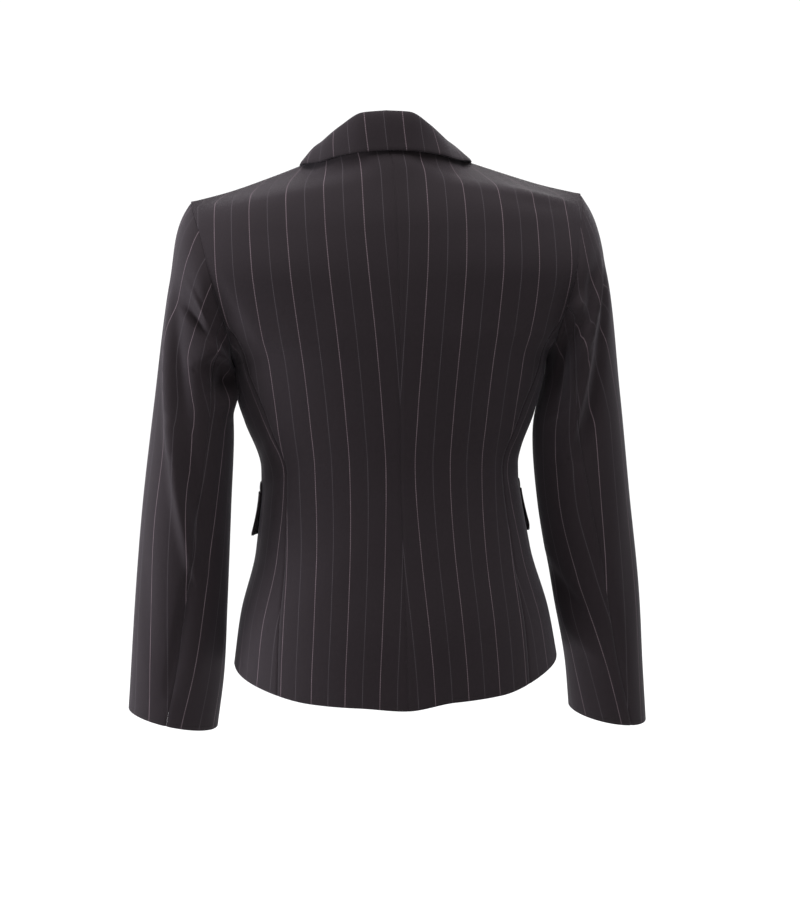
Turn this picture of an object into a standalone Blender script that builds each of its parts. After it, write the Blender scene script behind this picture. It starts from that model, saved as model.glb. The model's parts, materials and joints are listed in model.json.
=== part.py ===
"""A fitted single-breasted blazer in its worn form, hollow and open at neck, hem and cuffs.

Frame: +Z up, the back of the garment faces +Y, the wearer's left is +X. The origin is on the
centre line, level with the centre-back neck seam. Tables are in millimetres, as a cutter writes
them; meshes are in metres.

The body is one surface for each half, worked out from two tables of rows. A place on it is
(t, level): t runs round the body from 0 at centre back to 1 at the side and 2 at centre front,
and level is the height of the row at centre back. Every panel is a stretch of that surface.
"""

import math

import bmesh
import bpy
import numpy as np
from mathutils import Vector

MM = 0.001

# Driving dimensions, in millimetres.
WALL = 1.6                   # suiting with its interlining
COLLAR_WALL = 1.7
FLAP_WALL = 2.4
SEAM_GAP = 0.65              # between neighbours' outer faces, and 0.3 or more at their inner rims
LAYER_GAP = 0.5              # between a panel and what lies on it
SHOULDER_GAP = 1.0           # half the gap over the shoulder ridge, where the inner rims close up
ARMHOLE_GAP = 1.3
SLEEVE_SEAM_GAP = 1.3
ROW_LENGTH = 170.0           # arc of a row for one unit of t, where the seams cross it
UNDERARM = -238.0            # level of the bottom of the armhole
SIDE_TOP = -182.0            # level where the side panel's seams run into the armhole
BREAK = -300.0               # level of the lapel's break point
BUTTON_LEVEL = -322.0
BUTTON_RADIUS = 10.0
BUTTON_THICKNESS = 3.6
BUTTON_CLEARANCE = 0.8       # the front curves away under it
LEFT, RIGHT = 1, -1
RIGHT_SHOULDER_LIFT = 2.0
HEM_LIFT = {LEFT: (0.0, 4.0), RIGHT: (3.0, 8.0)}    # beside centre back, and more at the side
HEM_DIP = 3.0                # at centre back
WAIST_LEAN, WAIST_LEVEL, WAIST_SPREAD = 2.5, -335.0, 75.0    # towards the wearer's left
NECK_LEAN = 5.0              # towards the wearer's left
SLEEVE_AROUND = 300.0        # arc of a sleeve all round, to measure folds with
SIDE, CENTRE_FRONT = 1.0, 2.0    # values of t
LAP_START, LAP_FULL = 1.68, 1.84    # t between which the right front rises over the left one
LAP_TOP = (-200.0, -150.0)   # levels between which it comes down again


def table(names, *rows):
    """Columns of a table, by name."""
    return {name: np.array([row[i] for row in rows], float) for i, name in enumerate(names.split())}


# Rows of the back half, hem to shoulder. side_* is where the row meets the side seam, or the
# armhole above the underarm. turn is how far the row has turned there, square how boxy it is,
# slope 0 for a row cut by a flat plane and 1 for one that falls evenly outwards.
BACK = table(
    "level depth side_x side_y side_z turn square slope",
    (-584, 127, 170, 0, -552, 90, 2.2, 0.0),
    (-520, 123, 162, 0, -497, 90, 2.2, 0.0),
    (-440, 107, 144, 0, -430, 90, 2.2, 0.0),
    (-345, 92, 135, 0, -345, 90, 2.15, 0.0),
    (-290, 98, 152.5, 0, -290, 90, 2.2, 0.0),
    (-238, 106, 164, 0, -238, 90, 2.3, 0.0),
    (-200, 109, 170, 50, -210, 74, 2.2, 0.2),
    (-150, 107, 188, 64, -150, 60, 2.1, 0.5),
    (-95, 98, 198, 38, -100, 58, 1.9, 0.8),
    (-45, 80, 203, 14, -78, 56, 1.6, 0.8),
)

# Rows of the front half, at the same levels. height is the row's height at centre front, and
# edge_x is where the front edge or the roll line crosses it, measured from centre front.
FRONT = table(
    "level height depth side_x side_y side_z turn square slope edge_x",
    (-584, -560, -104, 170, 0, -552, 90, 2.2, 0.0, 16),
    (-520, -500, -108, 162, 0, -497, 90, 2.2, 0.0, -4),
    (-440, -430, -107, 144, 0, -430, 90, 2.2, 0.0, -15),
    (-345, -345, -99, 135, 0, -345, 90, 2.15, 0.0, -18),
    (-290, -290, -109, 152.5, 0, -290, 90, 2.2, 0.0, -14),
    (-238, -238, -123, 164, 0, -238, 90, 2.3, 0.0, 4),
    (-200, -202, -124, 170, -46, -210, 74, 2.2, 0.2, 16),
    (-150, -155, -116, 180, -62, -152, 60, 2.0, 0.5, 31),
    (-95, -112, -100, 193, -44, -102, 58, 1.8, 0.8, 46),
    (-45, -84, -80, 201, -20, -80, 56, 1.6, 0.8, 59),
)

# The top of the body: the neck seam, then the shoulder seam.
NECK = table(
    "t x y z",
    (0.0, 0, 60, 0),
    (0.1, 26, 57, -2),
    (0.2, 50, 43, -9),
    (0.3, 67, 23, -17),
    (0.4, 76, 0, -24),
    (0.5, 75, -26, -40),
    (0.6, 68, -50, -68),
)
SHOULDER = table(
    "along x y z",
    (0.0, 76, 0, -24),
    (0.35, 120, -3, -40),
    (0.70, 165, -6, -55),
    (1.0, 205, -8, -65),
)
NECK_POINT = 0.4             # t of the point where the neck seam meets the shoulder seam

# Levels where the sleeve's back and front edges pass a given angle. The angle runs round the
# sleeve from 0 at the shoulder, by 90 at the back and 180 at the underarm, to 270 at the front.
ARMHOLE = table(
    "angle level",
    (0, 0),
    (22, -45),
    (45, -95),
    (90, -150),
    (135, -200),
    (180, UNDERARM),
)

# Direction in which the sleeve leaves the armhole.
SLEEVE_START = table(
    "angle out back up",
    (0, 0.60, 0.00, -0.80),
    (45, 0.70, 0.30, -0.65),
    (90, 0.72, 0.35, -0.60),
    (135, 0.40, 0.20, -0.90),
    (180, 0.12, 0.00, -0.99),
    (225, 0.40, -0.20, -0.90),
    (270, 0.72, -0.30, -0.62),
    (315, 0.70, -0.25, -0.66),
    (360, 0.60, 0.00, -0.80),
)

# Rings of each sleeve, from the cap to the cuff. tilt raises the ring's outer side and lowers
# its inner one; pitch lowers its back edge.
SLEEVE_RINGS = {
    LEFT: table(
        "along x y z half_width half_depth tilt pitch",
        (95, 198, 0, -206, 31.5, 60, 56, 0),
        (185, 206.5, 3, -290, 41, 57, 20, 0),
        (280, 216, 4, -381, 46, 54, 5, 0),
        (385, 224, -6, -486, 48.5, 47, 3, 3),
        (460, 229, -21, -560, 49, 41, 4, 6),
        (512, 234, -33, -606.5, 47, 36, 10, 8),
    ),
    RIGHT: table(
        "along x y z half_width half_depth tilt pitch",
        (95, 195.5, 0, -206, 34.5, 60, 56, 0),
        (185, 195.5, 3, -290, 46, 57, 20, 0),
        (280, 201.5, 4, -381, 48.5, 54, 5, 0),
        (385, 215.5, -6, -486, 45.5, 47, 2, 4),
        (465, 225, -21, -563, 41.5, 41, -3, 8),
        (515, 229.5, -32, -615, 41.5, 36, -8, 9),
    ),
}

# Angles of the two seams that part the upper sleeve from the under sleeve.
SLEEVE_SEAMS = {
    LEFT: table("along back front", (0, 118, 246), (200, 108, 244), (350, 96, 242), (512, 79, 240)),
    RIGHT: table("along back front", (0, 112, 246), (200, 98, 244), (350, 85, 242), (440, 78, 241),
                 (515, 60, 240)),
}

# Folds of the sleeves: a soft ridge, or a trough where height is below 0, from one place
# (angle, along) to another.
SLEEVE_FOLDS = {
    LEFT: table(
        "angle_1 along_1 angle_2 along_2 width height",
        (142, 85, 88, 130, 14, 5.5),
        (60, 82, 100, 74, 11, -3.0),
        (122, 150, 186, 62, 19, -6.0),
        (28, 118, 98, 345, 15, 6.0),
        (110, 345, 84, 500, 11, -3.5),
        (320, 60, 250, 150, 15, 6.0),
        (225, 250, 285, 300, 15, -5.0),
    ),
    RIGHT: table(
        "angle_1 along_1 angle_2 along_2 width height",
        (98, 14, 80, 92, 13, 8.0),
        (118, 40, 158, 165, 19, -9.0),
        (40, 60, 95, 210, 14, 7.5),
        (14, 90, 62, 230, 14, -5.5),
        (168, 350, 112, 400, 15, -5.5),
        (315, 70, 255, 160, 15, 6.0),
        (230, 260, 290, 320, 15, -5.0),
    ),
}

# Stations of the collar, from centre back to its end above the lapel: the neck seam, the top of
# the roll, and the free edge of the fall.
COLLAR = table(
    "station seam_x seam_y seam_z roll_x roll_y roll_z edge_x edge_y edge_z",
    (0, 0, 58.5, 1, 0, 60, 24.5, 0, 75, -16),
    (1, 25, 55.5, -1, 24, 56, 23, 30, 71, -17),
    (2, 48.5, 42, -8, 45.5, 43.5, 10.5, 58, 56, -20),
    (3, 65.5, 22.5, -16, 62.5, 22.5, -3.5, 79, 33, -24),
    (4, 74.5, 0, -22.5, 72, 0, -12.5, 91, 2, -27),
    (5, 73.5, -26, -38, 71.5, -27, -28, 92, -32, -39),
    (6, 66, -48, -61, 65, -51, -50, 88, -61, -65),
)

# Where the side-back seam runs, as t against level. The side-front seam mirrors it about the
# side, nearer to it by SIDE_FRONT_SHARE.
SIDE_SEAM = table(
    "level t",
    (-584, 0.54),
    (-520, 0.56),
    (-440, 0.60),
    (-345, 0.62),
    (-290, 0.65),
    (-238, 0.74),
    (-205, 0.88),
    (SIDE_TOP, 1.0),
)
SIDE_FRONT_SHARE = 0.8

# Levels of the rows of faces of the body panels.
BODY_LEVELS = np.concatenate([
    np.linspace(-584, UNDERARM, 15),
    np.linspace(UNDERARM, SIDE_TOP, 5)[1:],
    np.linspace(SIDE_TOP, -45, 8)[1:],
    np.linspace(-45, 0, 5)[1:],
])
SIDE_ROWS = int(np.argmin(np.abs(BODY_LEVELS - SIDE_TOP)))

# Hem corner of the fronts and the lapel's outline.
CORNER_START, CORNER_RISE = 0.5, 46.0
LAPEL = table("along width", (0.0, 3), (0.25, 27), (0.5, 47), (0.75, 63), (0.92, 72), (1.0, 74))
LAPEL_TOP_INNER, LAPEL_TOP_OUTER = -13.0, -60.0
LAPEL_BOTTOM = {LEFT: -262.0, RIGHT: BREAK + 8}
LAPEL_CLEARANCE = 3.0        # the left lapel comes out from under the right front's edge
LAPEL_ROLL = 2.0

# Flaps: where each starts and ends round the body, its top and bottom, and how far the bottom
# of its back end stands away.
FLAPS = {
    LEFT: {"t": (0.97, 1.58), "level": (-372, -424), "stand": 5.5},
    RIGHT: {"t": (0.99, 1.58), "level": (-374, -426), "stand": 2.5},
}

SUITING = (0.026, 0.021, 0.022, 1.0)
BUTTON_COLOUR = (0.012, 0.011, 0.012, 1.0)


# ---------------------------------------------------------------- curves

def slopes(keys, values):
    """Slopes of the smooth curve through points, which never passes beyond its neighbours."""
    step = np.diff(keys).reshape((-1,) + (1,) * (values.ndim - 1))
    secant = np.diff(values, axis=0) / step
    inner = np.where(secant[:-1] * secant[1:] > 0,
                     2 * secant[:-1] * secant[1:] / (secant[:-1] + secant[1:] + 1e-12), 0.0)
    return np.concatenate([secant[:1], inner, secant[-1:]])


def hermite(keys, values, slope, at):
    """Value at each key in `at`. values is (rows, ...) or (rows, points) with one row per key."""
    i = np.clip(np.searchsorted(keys, at, side="right") - 1, 0, len(keys) - 2)
    width = keys[i + 1] - keys[i]
    f = np.clip((at - keys[i]) / width, 0, 1)
    if values.ndim > 1:
        points = np.arange(len(at))
        start, end, m0, m1 = values[i, points], values[i + 1, points], slope[i, points], slope[i + 1, points]
    else:
        start, end, m0, m1 = values[i], values[i + 1], slope[i], slope[i + 1]
    return ((2 * f**3 - 3 * f**2 + 1) * start + (f**3 - 2 * f**2 + f) * width * m0
            + (3 * f**2 - 2 * f**3) * end + (f**3 - f**2) * width * m1)


def smooth(keys, values, at):
    return hermite(keys, values, slopes(keys, values), np.asarray(at, float))


def ease(start, end, value):
    f = np.clip((value - start) / (end - start), 0, 1)
    return f * f * (3 - 2 * f)


def norm(vectors):
    return np.linalg.norm(vectors, axis=-1, keepdims=True)


# ---------------------------------------------------------------- the body

def row_points(rows, centre_height, across):
    """Points of every row at each `across`, 0 at the centre line and 1 at the side: (rows, points)."""
    turn = np.radians(rows["turn"])[:, None]
    power = (2 / rows["square"])[:, None]
    angle = turn * across[None, :]
    wide = np.sign(angle) * np.abs(np.sin(angle)) ** power / np.sin(turn) ** power
    corner = np.maximum(np.cos(turn), 0) ** power
    round_ = (np.abs(np.cos(angle)) ** power - corner) / (1 - corner)
    slope = rows["slope"][:, None]
    fall = (1 - round_) * (1 - slope) + np.abs(wide) * slope
    x = rows["side_x"][:, None] * wide
    y = rows["side_y"][:, None] + (rows["depth"] - rows["side_y"])[:, None] * round_
    z = centre_height[:, None] + (rows["side_z"] - centre_height)[:, None] * fall
    return x, y, z


def top_points(t):
    """The neck and shoulder seams, for t on either half."""
    back = t <= SIDE
    neck_t = np.where(back, np.minimum(t, NECK_POINT), 3 * NECK_POINT + 2 * (t - 2))
    on_neck = np.where(back, t < NECK_POINT, t > 2 - NECK_POINT)
    along = np.where(back, t - NECK_POINT, 2 - NECK_POINT - t) / (1 - NECK_POINT)
    points = [np.where(on_neck, smooth(NECK["t"], NECK[axis], np.clip(neck_t, 0, NECK["t"][-1])),
                       smooth(SHOULDER["along"], SHOULDER[axis], np.clip(along, 0, 1))) for axis in "xyz"]
    points[1] = points[1] + np.where(back, SHOULDER_GAP, -SHOULDER_GAP)
    return points


def half_body(rows, heights, across, t, level):
    """Points of the front or back half: a smooth curve up through its rows for each t."""
    keys = np.append(rows["level"], 0.0)
    columns = [np.vstack([row, top]) for row, top in
               zip(row_points(rows, heights, across), top_points(t))]
    x, y, z = (hermite(keys, column, slopes(keys, column), level) for column in columns)
    return x, y, z


def body(side, t, level):
    """Points of the body's outer surface, (points, 3), in millimetres."""
    t, level = np.broadcast_arrays(np.asarray(t, float), np.asarray(level, float))
    shape = t.shape
    t, level = t.ravel(), level.ravel()
    back = half_body(BACK, BACK["level"], t, np.minimum(t, SIDE), level)
    front = half_body(FRONT, FRONT["height"], 2 - t, np.maximum(t, SIDE + 1e-9), level)
    x, y, z = (np.where(t <= SIDE, b, f) for b, f in zip(back, front))
    return settle(side, np.stack([side * x, y, z], axis=-1)).reshape(shape + (3,))


def settle(side, points):
    """The pose: the right shoulder and hem are carried higher, the waist and neck lean to the left."""
    aside, height = np.abs(points[..., 0]), points[..., 2].copy()
    near, far = HEM_LIFT[side]
    middle = ease(0, 50, aside)
    lift = near * middle + far * ease(100, 165, aside) - HEM_DIP * (1 - middle)
    points[..., 2] += lift * ease(-480, -575, height)
    if side == RIGHT:
        points[..., 2] += RIGHT_SHOULDER_LIFT * ease(60, 200, aside) * ease(-230, -70, height)
    points[..., 0] += WAIST_LEAN * np.exp(-((height - WAIST_LEVEL) / WAIST_SPREAD) ** 2) * ease(20, 120, aside)
    points[..., 0] += NECK_LEAN * ease(-40, 5, height)
    return points


def outward(side, t, level):
    """Unit normals of the body's surface, pointing away from the wearer."""
    across = body(side, t + 0.004, level) - body(side, t - 0.004, level)
    upward = body(side, t, level + 1.5) - body(side, t, level - 1.5)
    normal = np.cross(upward, across) * side
    return normal / (np.linalg.norm(normal, axis=-1, keepdims=True) + 1e-12)


def raised(side, t, level, height):
    """Points of the body's surface, moved out."""
    return body(side, t, level) + outward(side, t, level) * np.asarray(height)[..., None]


def side_back(level):
    return smooth(SIDE_SEAM["level"], SIDE_SEAM["t"], level)


def side_front(level):
    return SIDE + SIDE_FRONT_SHARE * (SIDE - side_back(level))


def front_t(x, level):
    """t of the place on a front row that lies x from centre front."""
    side_x = smooth(FRONT["level"], FRONT["side_x"], level)
    power = smooth(FRONT["level"], FRONT["square"], level) / 2
    turn = np.radians(smooth(FRONT["level"], FRONT["turn"], level))
    share = np.abs(x / side_x) ** power * np.sin(turn)
    return CENTRE_FRONT - np.sign(x) * np.arcsin(np.clip(share, 0, 1)) / turn


def front_edge(level):
    """t of the front edge, which is the roll line above the break."""
    free = front_t(smooth(FRONT["level"], FRONT["edge_x"], level), level)
    top = ease(-45, 0, level)
    return free * (1 - top) + (CENTRE_FRONT - NECK_POINT) * top


# ---------------------------------------------------------------- panels

def body_rows(v, rows):
    """Level of a row of faces, for v from 0 at the hem to 1 at the top row."""
    return np.interp(v * rows, np.arange(len(BODY_LEVELS)), BODY_LEVELS)


def back_panel(side, u, v):
    level = body_rows(v, len(BODY_LEVELS) - 1)
    seam = side_back(level) - np.where(level <= SIDE_TOP, 1, 0) * SEAM_GAP / ROW_LENGTH
    points = body(side, seam * u, level)
    points[:, 0] += side * SEAM_GAP / 2 * (1 - u)
    return points


def side_panel(side, u, v):
    seam_level = body_rows(v, SIDE_ROWS) - SEAM_GAP * v ** 8
    start = side_back(seam_level)
    end = side_front(seam_level)
    t = start + (end - start) * u
    middle = 1 / (1 + SIDE_FRONT_SHARE)
    dip = np.where(u < middle, u / middle, (1 - u) / (1 - middle)) ** 0.7
    level = seam_level + (UNDERARM - SIDE_TOP) * dip * v ** 2
    return body(side, t, level)


def front_panel(side, u, v):
    level = body_rows(v, len(BODY_LEVELS) - 1)
    start = side_front(level) + np.where(level <= SIDE_TOP, 1, 0) * SEAM_GAP / ROW_LENGTH
    start = np.maximum(start, SIDE + 1e-7)
    t = start + (front_edge(level) - start) * u
    corner = CORNER_RISE * np.clip((u - CORNER_START) / (1 - CORNER_START), 0, 1) ** 2.4
    level = level + corner * np.clip((BREAK - level) / (BREAK - BODY_LEVELS[0]), 0, 1) ** 2
    return raised(side, t, level, overlap_height(side, t, level))


def overlap_height(side, t, level):
    """The right front lies on the left one where they lap."""
    if side == LEFT:
        return np.zeros_like(t)
    return (WALL + LAYER_GAP) * ease(LAP_START, LAP_FULL, t) * (1 - ease(*LAP_TOP, level))


def lapel(side, u, v):
    """From the roll line, u 0, out over the front; v runs up from the break to the notch."""
    bottom = LAPEL_BOTTOM[side]
    inner = bottom + (LAPEL_TOP_INNER - bottom) * v
    outer = bottom + (LAPEL_TOP_OUTER - bottom) * v
    level = inner + (outer - inner) * u
    width = smooth(LAPEL["along"], LAPEL["width"], (inner - BREAK) / (LAPEL_TOP_INNER - BREAK))
    edge = smooth(FRONT["level"], FRONT["edge_x"], level)
    end = edge + width
    start = edge if side == RIGHT else np.maximum(edge, LAPEL_CLEARANCE - edge)
    t = front_t(start + (end - start) * u, level)
    t -= (front_t(edge, level) - front_edge(level)) * (1 - u)
    lift = overlap_height(side, t, level) + LAYER_GAP * 1.5 + WALL + LAPEL_ROLL * (1 - u) * v
    return raised(side, t, level, lift)


def flap(side, u, v):
    """u runs forward from the flap's back end, v down from its top."""
    place = FLAPS[side]
    t = place["t"][0] + (place["t"][1] - place["t"][0]) * u
    level = place["level"][0] + (place["level"][1] - place["level"][0]) * v
    height = LAYER_GAP + FLAP_WALL + place["stand"] * v ** 1.5 * (1 - u) ** 2
    return raised(side, t, level, height)


# ---------------------------------------------------------------- the sleeves

def armhole(side, angle):
    """Points of the armhole's edge, all round."""
    folded = np.where(angle <= 180, angle, 360 - angle)
    level = smooth(ARMHOLE["angle"], ARMHOLE["level"], folded)
    return np.where((angle <= 180)[:, None], body(side, np.full_like(angle, SIDE), level),
                    body(side, np.full_like(angle, SIDE + 1e-7), level))


def sleeve_columns(side, angle):
    """For each angle, the points of the armhole and of every ring: (rings, points, 3)."""
    rings = SLEEVE_RINGS[side]
    cosine, sine = np.cos(np.radians(angle)), np.sin(np.radians(angle))
    lift = settle(side, np.array([[side * 195.0, 0.0, -100.0]]))[0, 2] + 100.0
    start = armhole(side, angle)
    direction = np.stack([side * smooth(SLEEVE_START["angle"], SLEEVE_START["out"], angle),
                          smooth(SLEEVE_START["angle"], SLEEVE_START["back"], angle),
                          smooth(SLEEVE_START["angle"], SLEEVE_START["up"], angle)], axis=-1)
    start = start + direction * ARMHOLE_GAP
    start[:, 0] += side * LAYER_GAP * np.clip(-cosine, 0, 1)
    columns = [start]
    for i in range(len(rings["along"])):
        x = rings["x"][i] + rings["half_width"][i] * cosine
        y = rings["y"][i] + rings["half_depth"][i] * sine
        z = rings["z"][i] + rings["tilt"][i] * cosine - rings["pitch"][i] * np.maximum(sine, 0)
        if i == 0:
            z = z + lift * 0.5 * (1 + cosine)
        columns.append(np.stack([side * x, y, z], axis=-1))
    return np.array(columns), direction


def sleeve_folds(side, angle, along):
    """Height of the folds at each place of a sleeve."""
    folds = SLEEVE_FOLDS[side]
    height = np.zeros_like(angle)
    for i in range(len(folds["width"])):
        across = angle * SLEEVE_AROUND / 360
        start = np.array([folds["angle_1"][i] * SLEEVE_AROUND / 360, folds["along_1"][i]])
        end = np.array([folds["angle_2"][i] * SLEEVE_AROUND / 360, folds["along_2"][i]])
        run = end - start
        length = np.hypot(*run)
        share = ((across - start[0]) * run[0] + (along - start[1]) * run[1]) / length ** 2
        share = np.clip(share, 0, 1)
        distance = np.hypot(across - start[0] - share * run[0], along - start[1] - share * run[1])
        taper = 0.35 + 0.65 * np.sin(math.pi * share)
        height += folds["height"][i] * taper * np.exp(-((distance / folds["width"][i]) ** 2))
    return height * ease(6, 40, along)


def sleeve(side, angle, along):
    """Points of a sleeve's outer surface."""
    columns, direction = sleeve_columns(side, angle)
    keys = np.append(0.0, SLEEVE_RINGS[side]["along"])
    slope = slopes(keys, columns)
    reach = np.linalg.norm(columns[1] - columns[0], axis=-1, keepdims=True)
    slope[0] = direction * reach / keys[1] * 1.15
    rise = np.gradient(columns, keys, axis=0)
    slope[1:-1] = rise[1:-1]
    points = np.stack([hermite(keys, columns[:, :, axis], slope[:, :, axis], along)
                       for axis in range(3)], axis=-1)
    rings = SLEEVE_RINGS[side]
    middle = np.stack([side * np.interp(along, rings["along"], rings["x"]),
                       np.interp(along, rings["along"], rings["y"])], axis=-1)
    away = points[:, :2] - middle
    away = away / (np.linalg.norm(away, axis=-1, keepdims=True) + 1e-9)
    points[:, :2] += away * sleeve_folds(side, angle, along)[:, None]
    return points


def sleeve_panel(upper, side, u, v):
    """The upper sleeve runs from the back seam over the shoulder to the front seam."""
    seams = SLEEVE_SEAMS[side]
    along = v * SLEEVE_RINGS[side]["along"][-1]
    back = smooth(seams["along"], seams["back"], along)
    front = smooth(seams["along"], seams["front"], along)
    gap = SLEEVE_SEAM_GAP / 2 * 360 / SLEEVE_AROUND
    if upper:
        angle = (front - 360 + gap) + (back - gap - front + 360 - gap) * u
    else:
        angle = (back + gap) + (front - back - 2 * gap) * u
    return sleeve(side, np.mod(angle, 360), along)


# ---------------------------------------------------------------- the collar

def collar(u, v):
    """u runs from one end round the back to the other, v from the neck seam over to the fall."""
    station = np.abs(u * 2 - 1) * 6
    side = np.sign(u * 2 - 1)
    at = {name: smooth(COLLAR["station"], COLLAR[name], station) for name in COLLAR if name != "station"}
    seam, roll, edge = (np.stack([at[f"{part}_x"], at[f"{part}_y"], at[f"{part}_z"]], axis=-1)
                        for part in ("seam", "roll", "edge"))
    over = edge - seam
    over[:, 2] = 0
    over = over / norm(over)
    rise = roll - seam
    drop = edge - roll
    split = 0.42
    f = np.clip(v / split, 0, 1)[:, None]
    g = np.clip((v - split) / (1 - split), 0, 1)[:, None]
    steep = 0.7 + 0.8 * ease(12, 20, norm(rise))
    lean = rise * np.array([0, 0, 1]) * steep - over * 5.0
    stand = ((2 * f**3 - 3 * f**2 + 1) * seam + (f**3 - 2 * f**2 + f) * lean
             + (3 * f**2 - 2 * f**3) * roll + (f**3 - f**2) * over * 21.0)
    land = drop * 1.1 - over * 3.0
    fall = ((2 * g**3 - 3 * g**2 + 1) * roll + (g**3 - 2 * g**2 + g) * over * norm(drop) * 0.46
            + (3 * g**2 - 2 * g**3) * edge + (g**3 - g**2) * land)
    points = np.where((v <= split)[:, None], stand, fall)
    points[:, 0] *= np.where(side == 0, 1, side)
    right = points[:, 0] < 0
    points[right, 2] += RIGHT_SHOULDER_LIFT * ease(60, 200, -points[right, 0])
    points[:, 0] += NECK_LEAN * ease(-40, 5, points[:, 2])
    return points


# ---------------------------------------------------------------- objects

def material(name, colour, roughness):
    made = bpy.data.materials.new(name)
    made.use_nodes = True
    shader = made.node_tree.nodes["Principled BSDF"]
    shader.inputs["Base Color"].default_value = colour
    shader.inputs["Roughness"].default_value = roughness
    shader.inputs["Metallic"].default_value = 0.0
    return made


def place(mesh, name, collection, colour, roughness):
    made = bpy.data.objects.new(name, mesh)
    collection.objects.link(made)
    mesh.materials.append(material(name, colour, roughness))
    mesh.shade_smooth()
    return made


def cloth(name, surface, columns, rows, thickness, reverse, collection):
    """A sheet shaped by `surface(u, v)`, with its wall on the inner side."""
    bm = bmesh.new()
    bmesh.ops.create_grid(bm, x_segments=columns, y_segments=rows, size=0.5)
    flat = np.array([vert.co[:2] for vert in bm.verts]) + 0.5
    for vert, point in zip(bm.verts, surface(flat[:, 0], flat[:, 1])):
        vert.co = point * MM
    if reverse:
        bmesh.ops.reverse_faces(bm, faces=bm.faces)
    mesh = bpy.data.meshes.new(name)
    bm.to_mesh(mesh)
    bm.free()
    made = place(mesh, name, collection, SUITING, 0.85)
    wall = made.modifiers.new("Wall", "SOLIDIFY")
    wall.thickness = thickness * MM
    wall.offset = -1
    return made


def make_body(side, name, collection):
    outside_in = side == LEFT
    cloth(f"back_{name}", lambda u, v: back_panel(side, u, v), 10, len(BODY_LEVELS) - 1, WALL,
          outside_in, collection)
    cloth(f"side_{name}", lambda u, v: side_panel(side, u, v), 9, SIDE_ROWS, WALL,
          outside_in, collection)
    cloth(f"front_{name}", lambda u, v: front_panel(side, u, v), 12, len(BODY_LEVELS) - 1, WALL,
          outside_in, collection)
    cloth(f"lapel_{name}", lambda u, v: lapel(side, u, v), 5, 14, WALL, not outside_in, collection)
    cloth(f"flap_{name}", lambda u, v: flap(side, u, v), 10, 4, FLAP_WALL, not outside_in, collection)


def make_sleeve(side, name, collection):
    reverse = side == LEFT
    cloth(f"sleeve_upper_{name}", lambda u, v: sleeve_panel(True, side, u, v), 16, 26, WALL,
          reverse, collection)
    cloth(f"sleeve_under_{name}", lambda u, v: sleeve_panel(False, side, u, v), 9, 26, WALL,
          reverse, collection)


def make_button(collection):
    level = np.array([BUTTON_LEVEL])
    t = front_t(np.array([0.0]), level)
    height = WALL + 2 * LAYER_GAP + BUTTON_THICKNESS / 2 + BUTTON_CLEARANCE
    centre = raised(RIGHT, t, level, np.array([height]))[0] * MM
    facing = Vector(outward(RIGHT, t, level)[0])
    bm = bmesh.new()
    bmesh.ops.create_cone(bm, cap_ends=True, segments=28, radius1=BUTTON_RADIUS * MM,
                          radius2=BUTTON_RADIUS * MM, depth=BUTTON_THICKNESS * MM)
    mesh = bpy.data.meshes.new("button")
    bm.to_mesh(mesh)
    bm.free()
    made = place(mesh, "button", collection, BUTTON_COLOUR, 0.35)
    made.location = centre
    made.rotation_euler = facing.to_track_quat("Z", "Y").to_euler()
    edge = made.modifiers.new("Edge", "BEVEL")
    edge.width = 0.8 * MM
    edge.segments = 2


def main():
    for old in list(bpy.data.objects):
        bpy.data.objects.remove(old)
    collection = bpy.data.collections.new("blazer")
    bpy.context.scene.collection.children.link(collection)
    for side, name in ((LEFT, "left"), (RIGHT, "right")):
        make_body(side, name, collection)
        make_sleeve(side, name, collection)
    cloth("collar", collar, 26, 11, COLLAR_WALL, False, collection)
    make_button(collection)


main()
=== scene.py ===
# %% [markdown]
# # A fitted pinstripe blazer in its worn form
#
# A short single-breasted blazer is seen from behind. It keeps the shape of a wearer but is hollow,
# as a fashion photographer's invisible-figure picture shows it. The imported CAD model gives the
# frame: one stiff wall for each panel. This script dresses it. Every panel is made again as a finer
# sheet of suiting on the same surface, with its seams, folds, turned-up hems and pinstripes.

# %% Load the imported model
import json
import math

import bmesh
import bpy
import numpy as np
from mathutils import Matrix, Vector

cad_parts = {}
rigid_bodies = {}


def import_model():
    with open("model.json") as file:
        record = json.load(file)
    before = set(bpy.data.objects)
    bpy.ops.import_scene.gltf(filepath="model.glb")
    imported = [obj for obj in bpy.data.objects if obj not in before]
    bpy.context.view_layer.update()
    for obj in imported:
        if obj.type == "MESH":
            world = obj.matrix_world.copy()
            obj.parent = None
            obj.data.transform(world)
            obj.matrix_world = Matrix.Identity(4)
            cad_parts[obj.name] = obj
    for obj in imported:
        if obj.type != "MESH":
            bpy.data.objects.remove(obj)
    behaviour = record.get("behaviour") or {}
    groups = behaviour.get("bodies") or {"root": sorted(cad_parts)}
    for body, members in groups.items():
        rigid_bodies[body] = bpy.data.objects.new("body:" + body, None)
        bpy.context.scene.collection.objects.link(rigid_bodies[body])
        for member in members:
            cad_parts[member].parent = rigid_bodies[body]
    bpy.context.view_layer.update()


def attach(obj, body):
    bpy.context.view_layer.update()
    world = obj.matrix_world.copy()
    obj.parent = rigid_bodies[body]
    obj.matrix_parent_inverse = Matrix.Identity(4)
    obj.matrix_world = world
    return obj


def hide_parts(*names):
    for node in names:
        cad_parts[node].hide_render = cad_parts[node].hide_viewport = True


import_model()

# %% [markdown]
# ## Working units
#
# A cutter writes a pattern in millimetres, so the tables below are in millimetres and the meshes
# are scaled to metres when they are made. +Z is up, the back of the blazer faces +Y and the
# wearer's left is +X. The CAD model's panels stand a little apart. Here they have to look sewn
# together, so their edges meet within a twentieth of a millimetre, and some lap.

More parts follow.
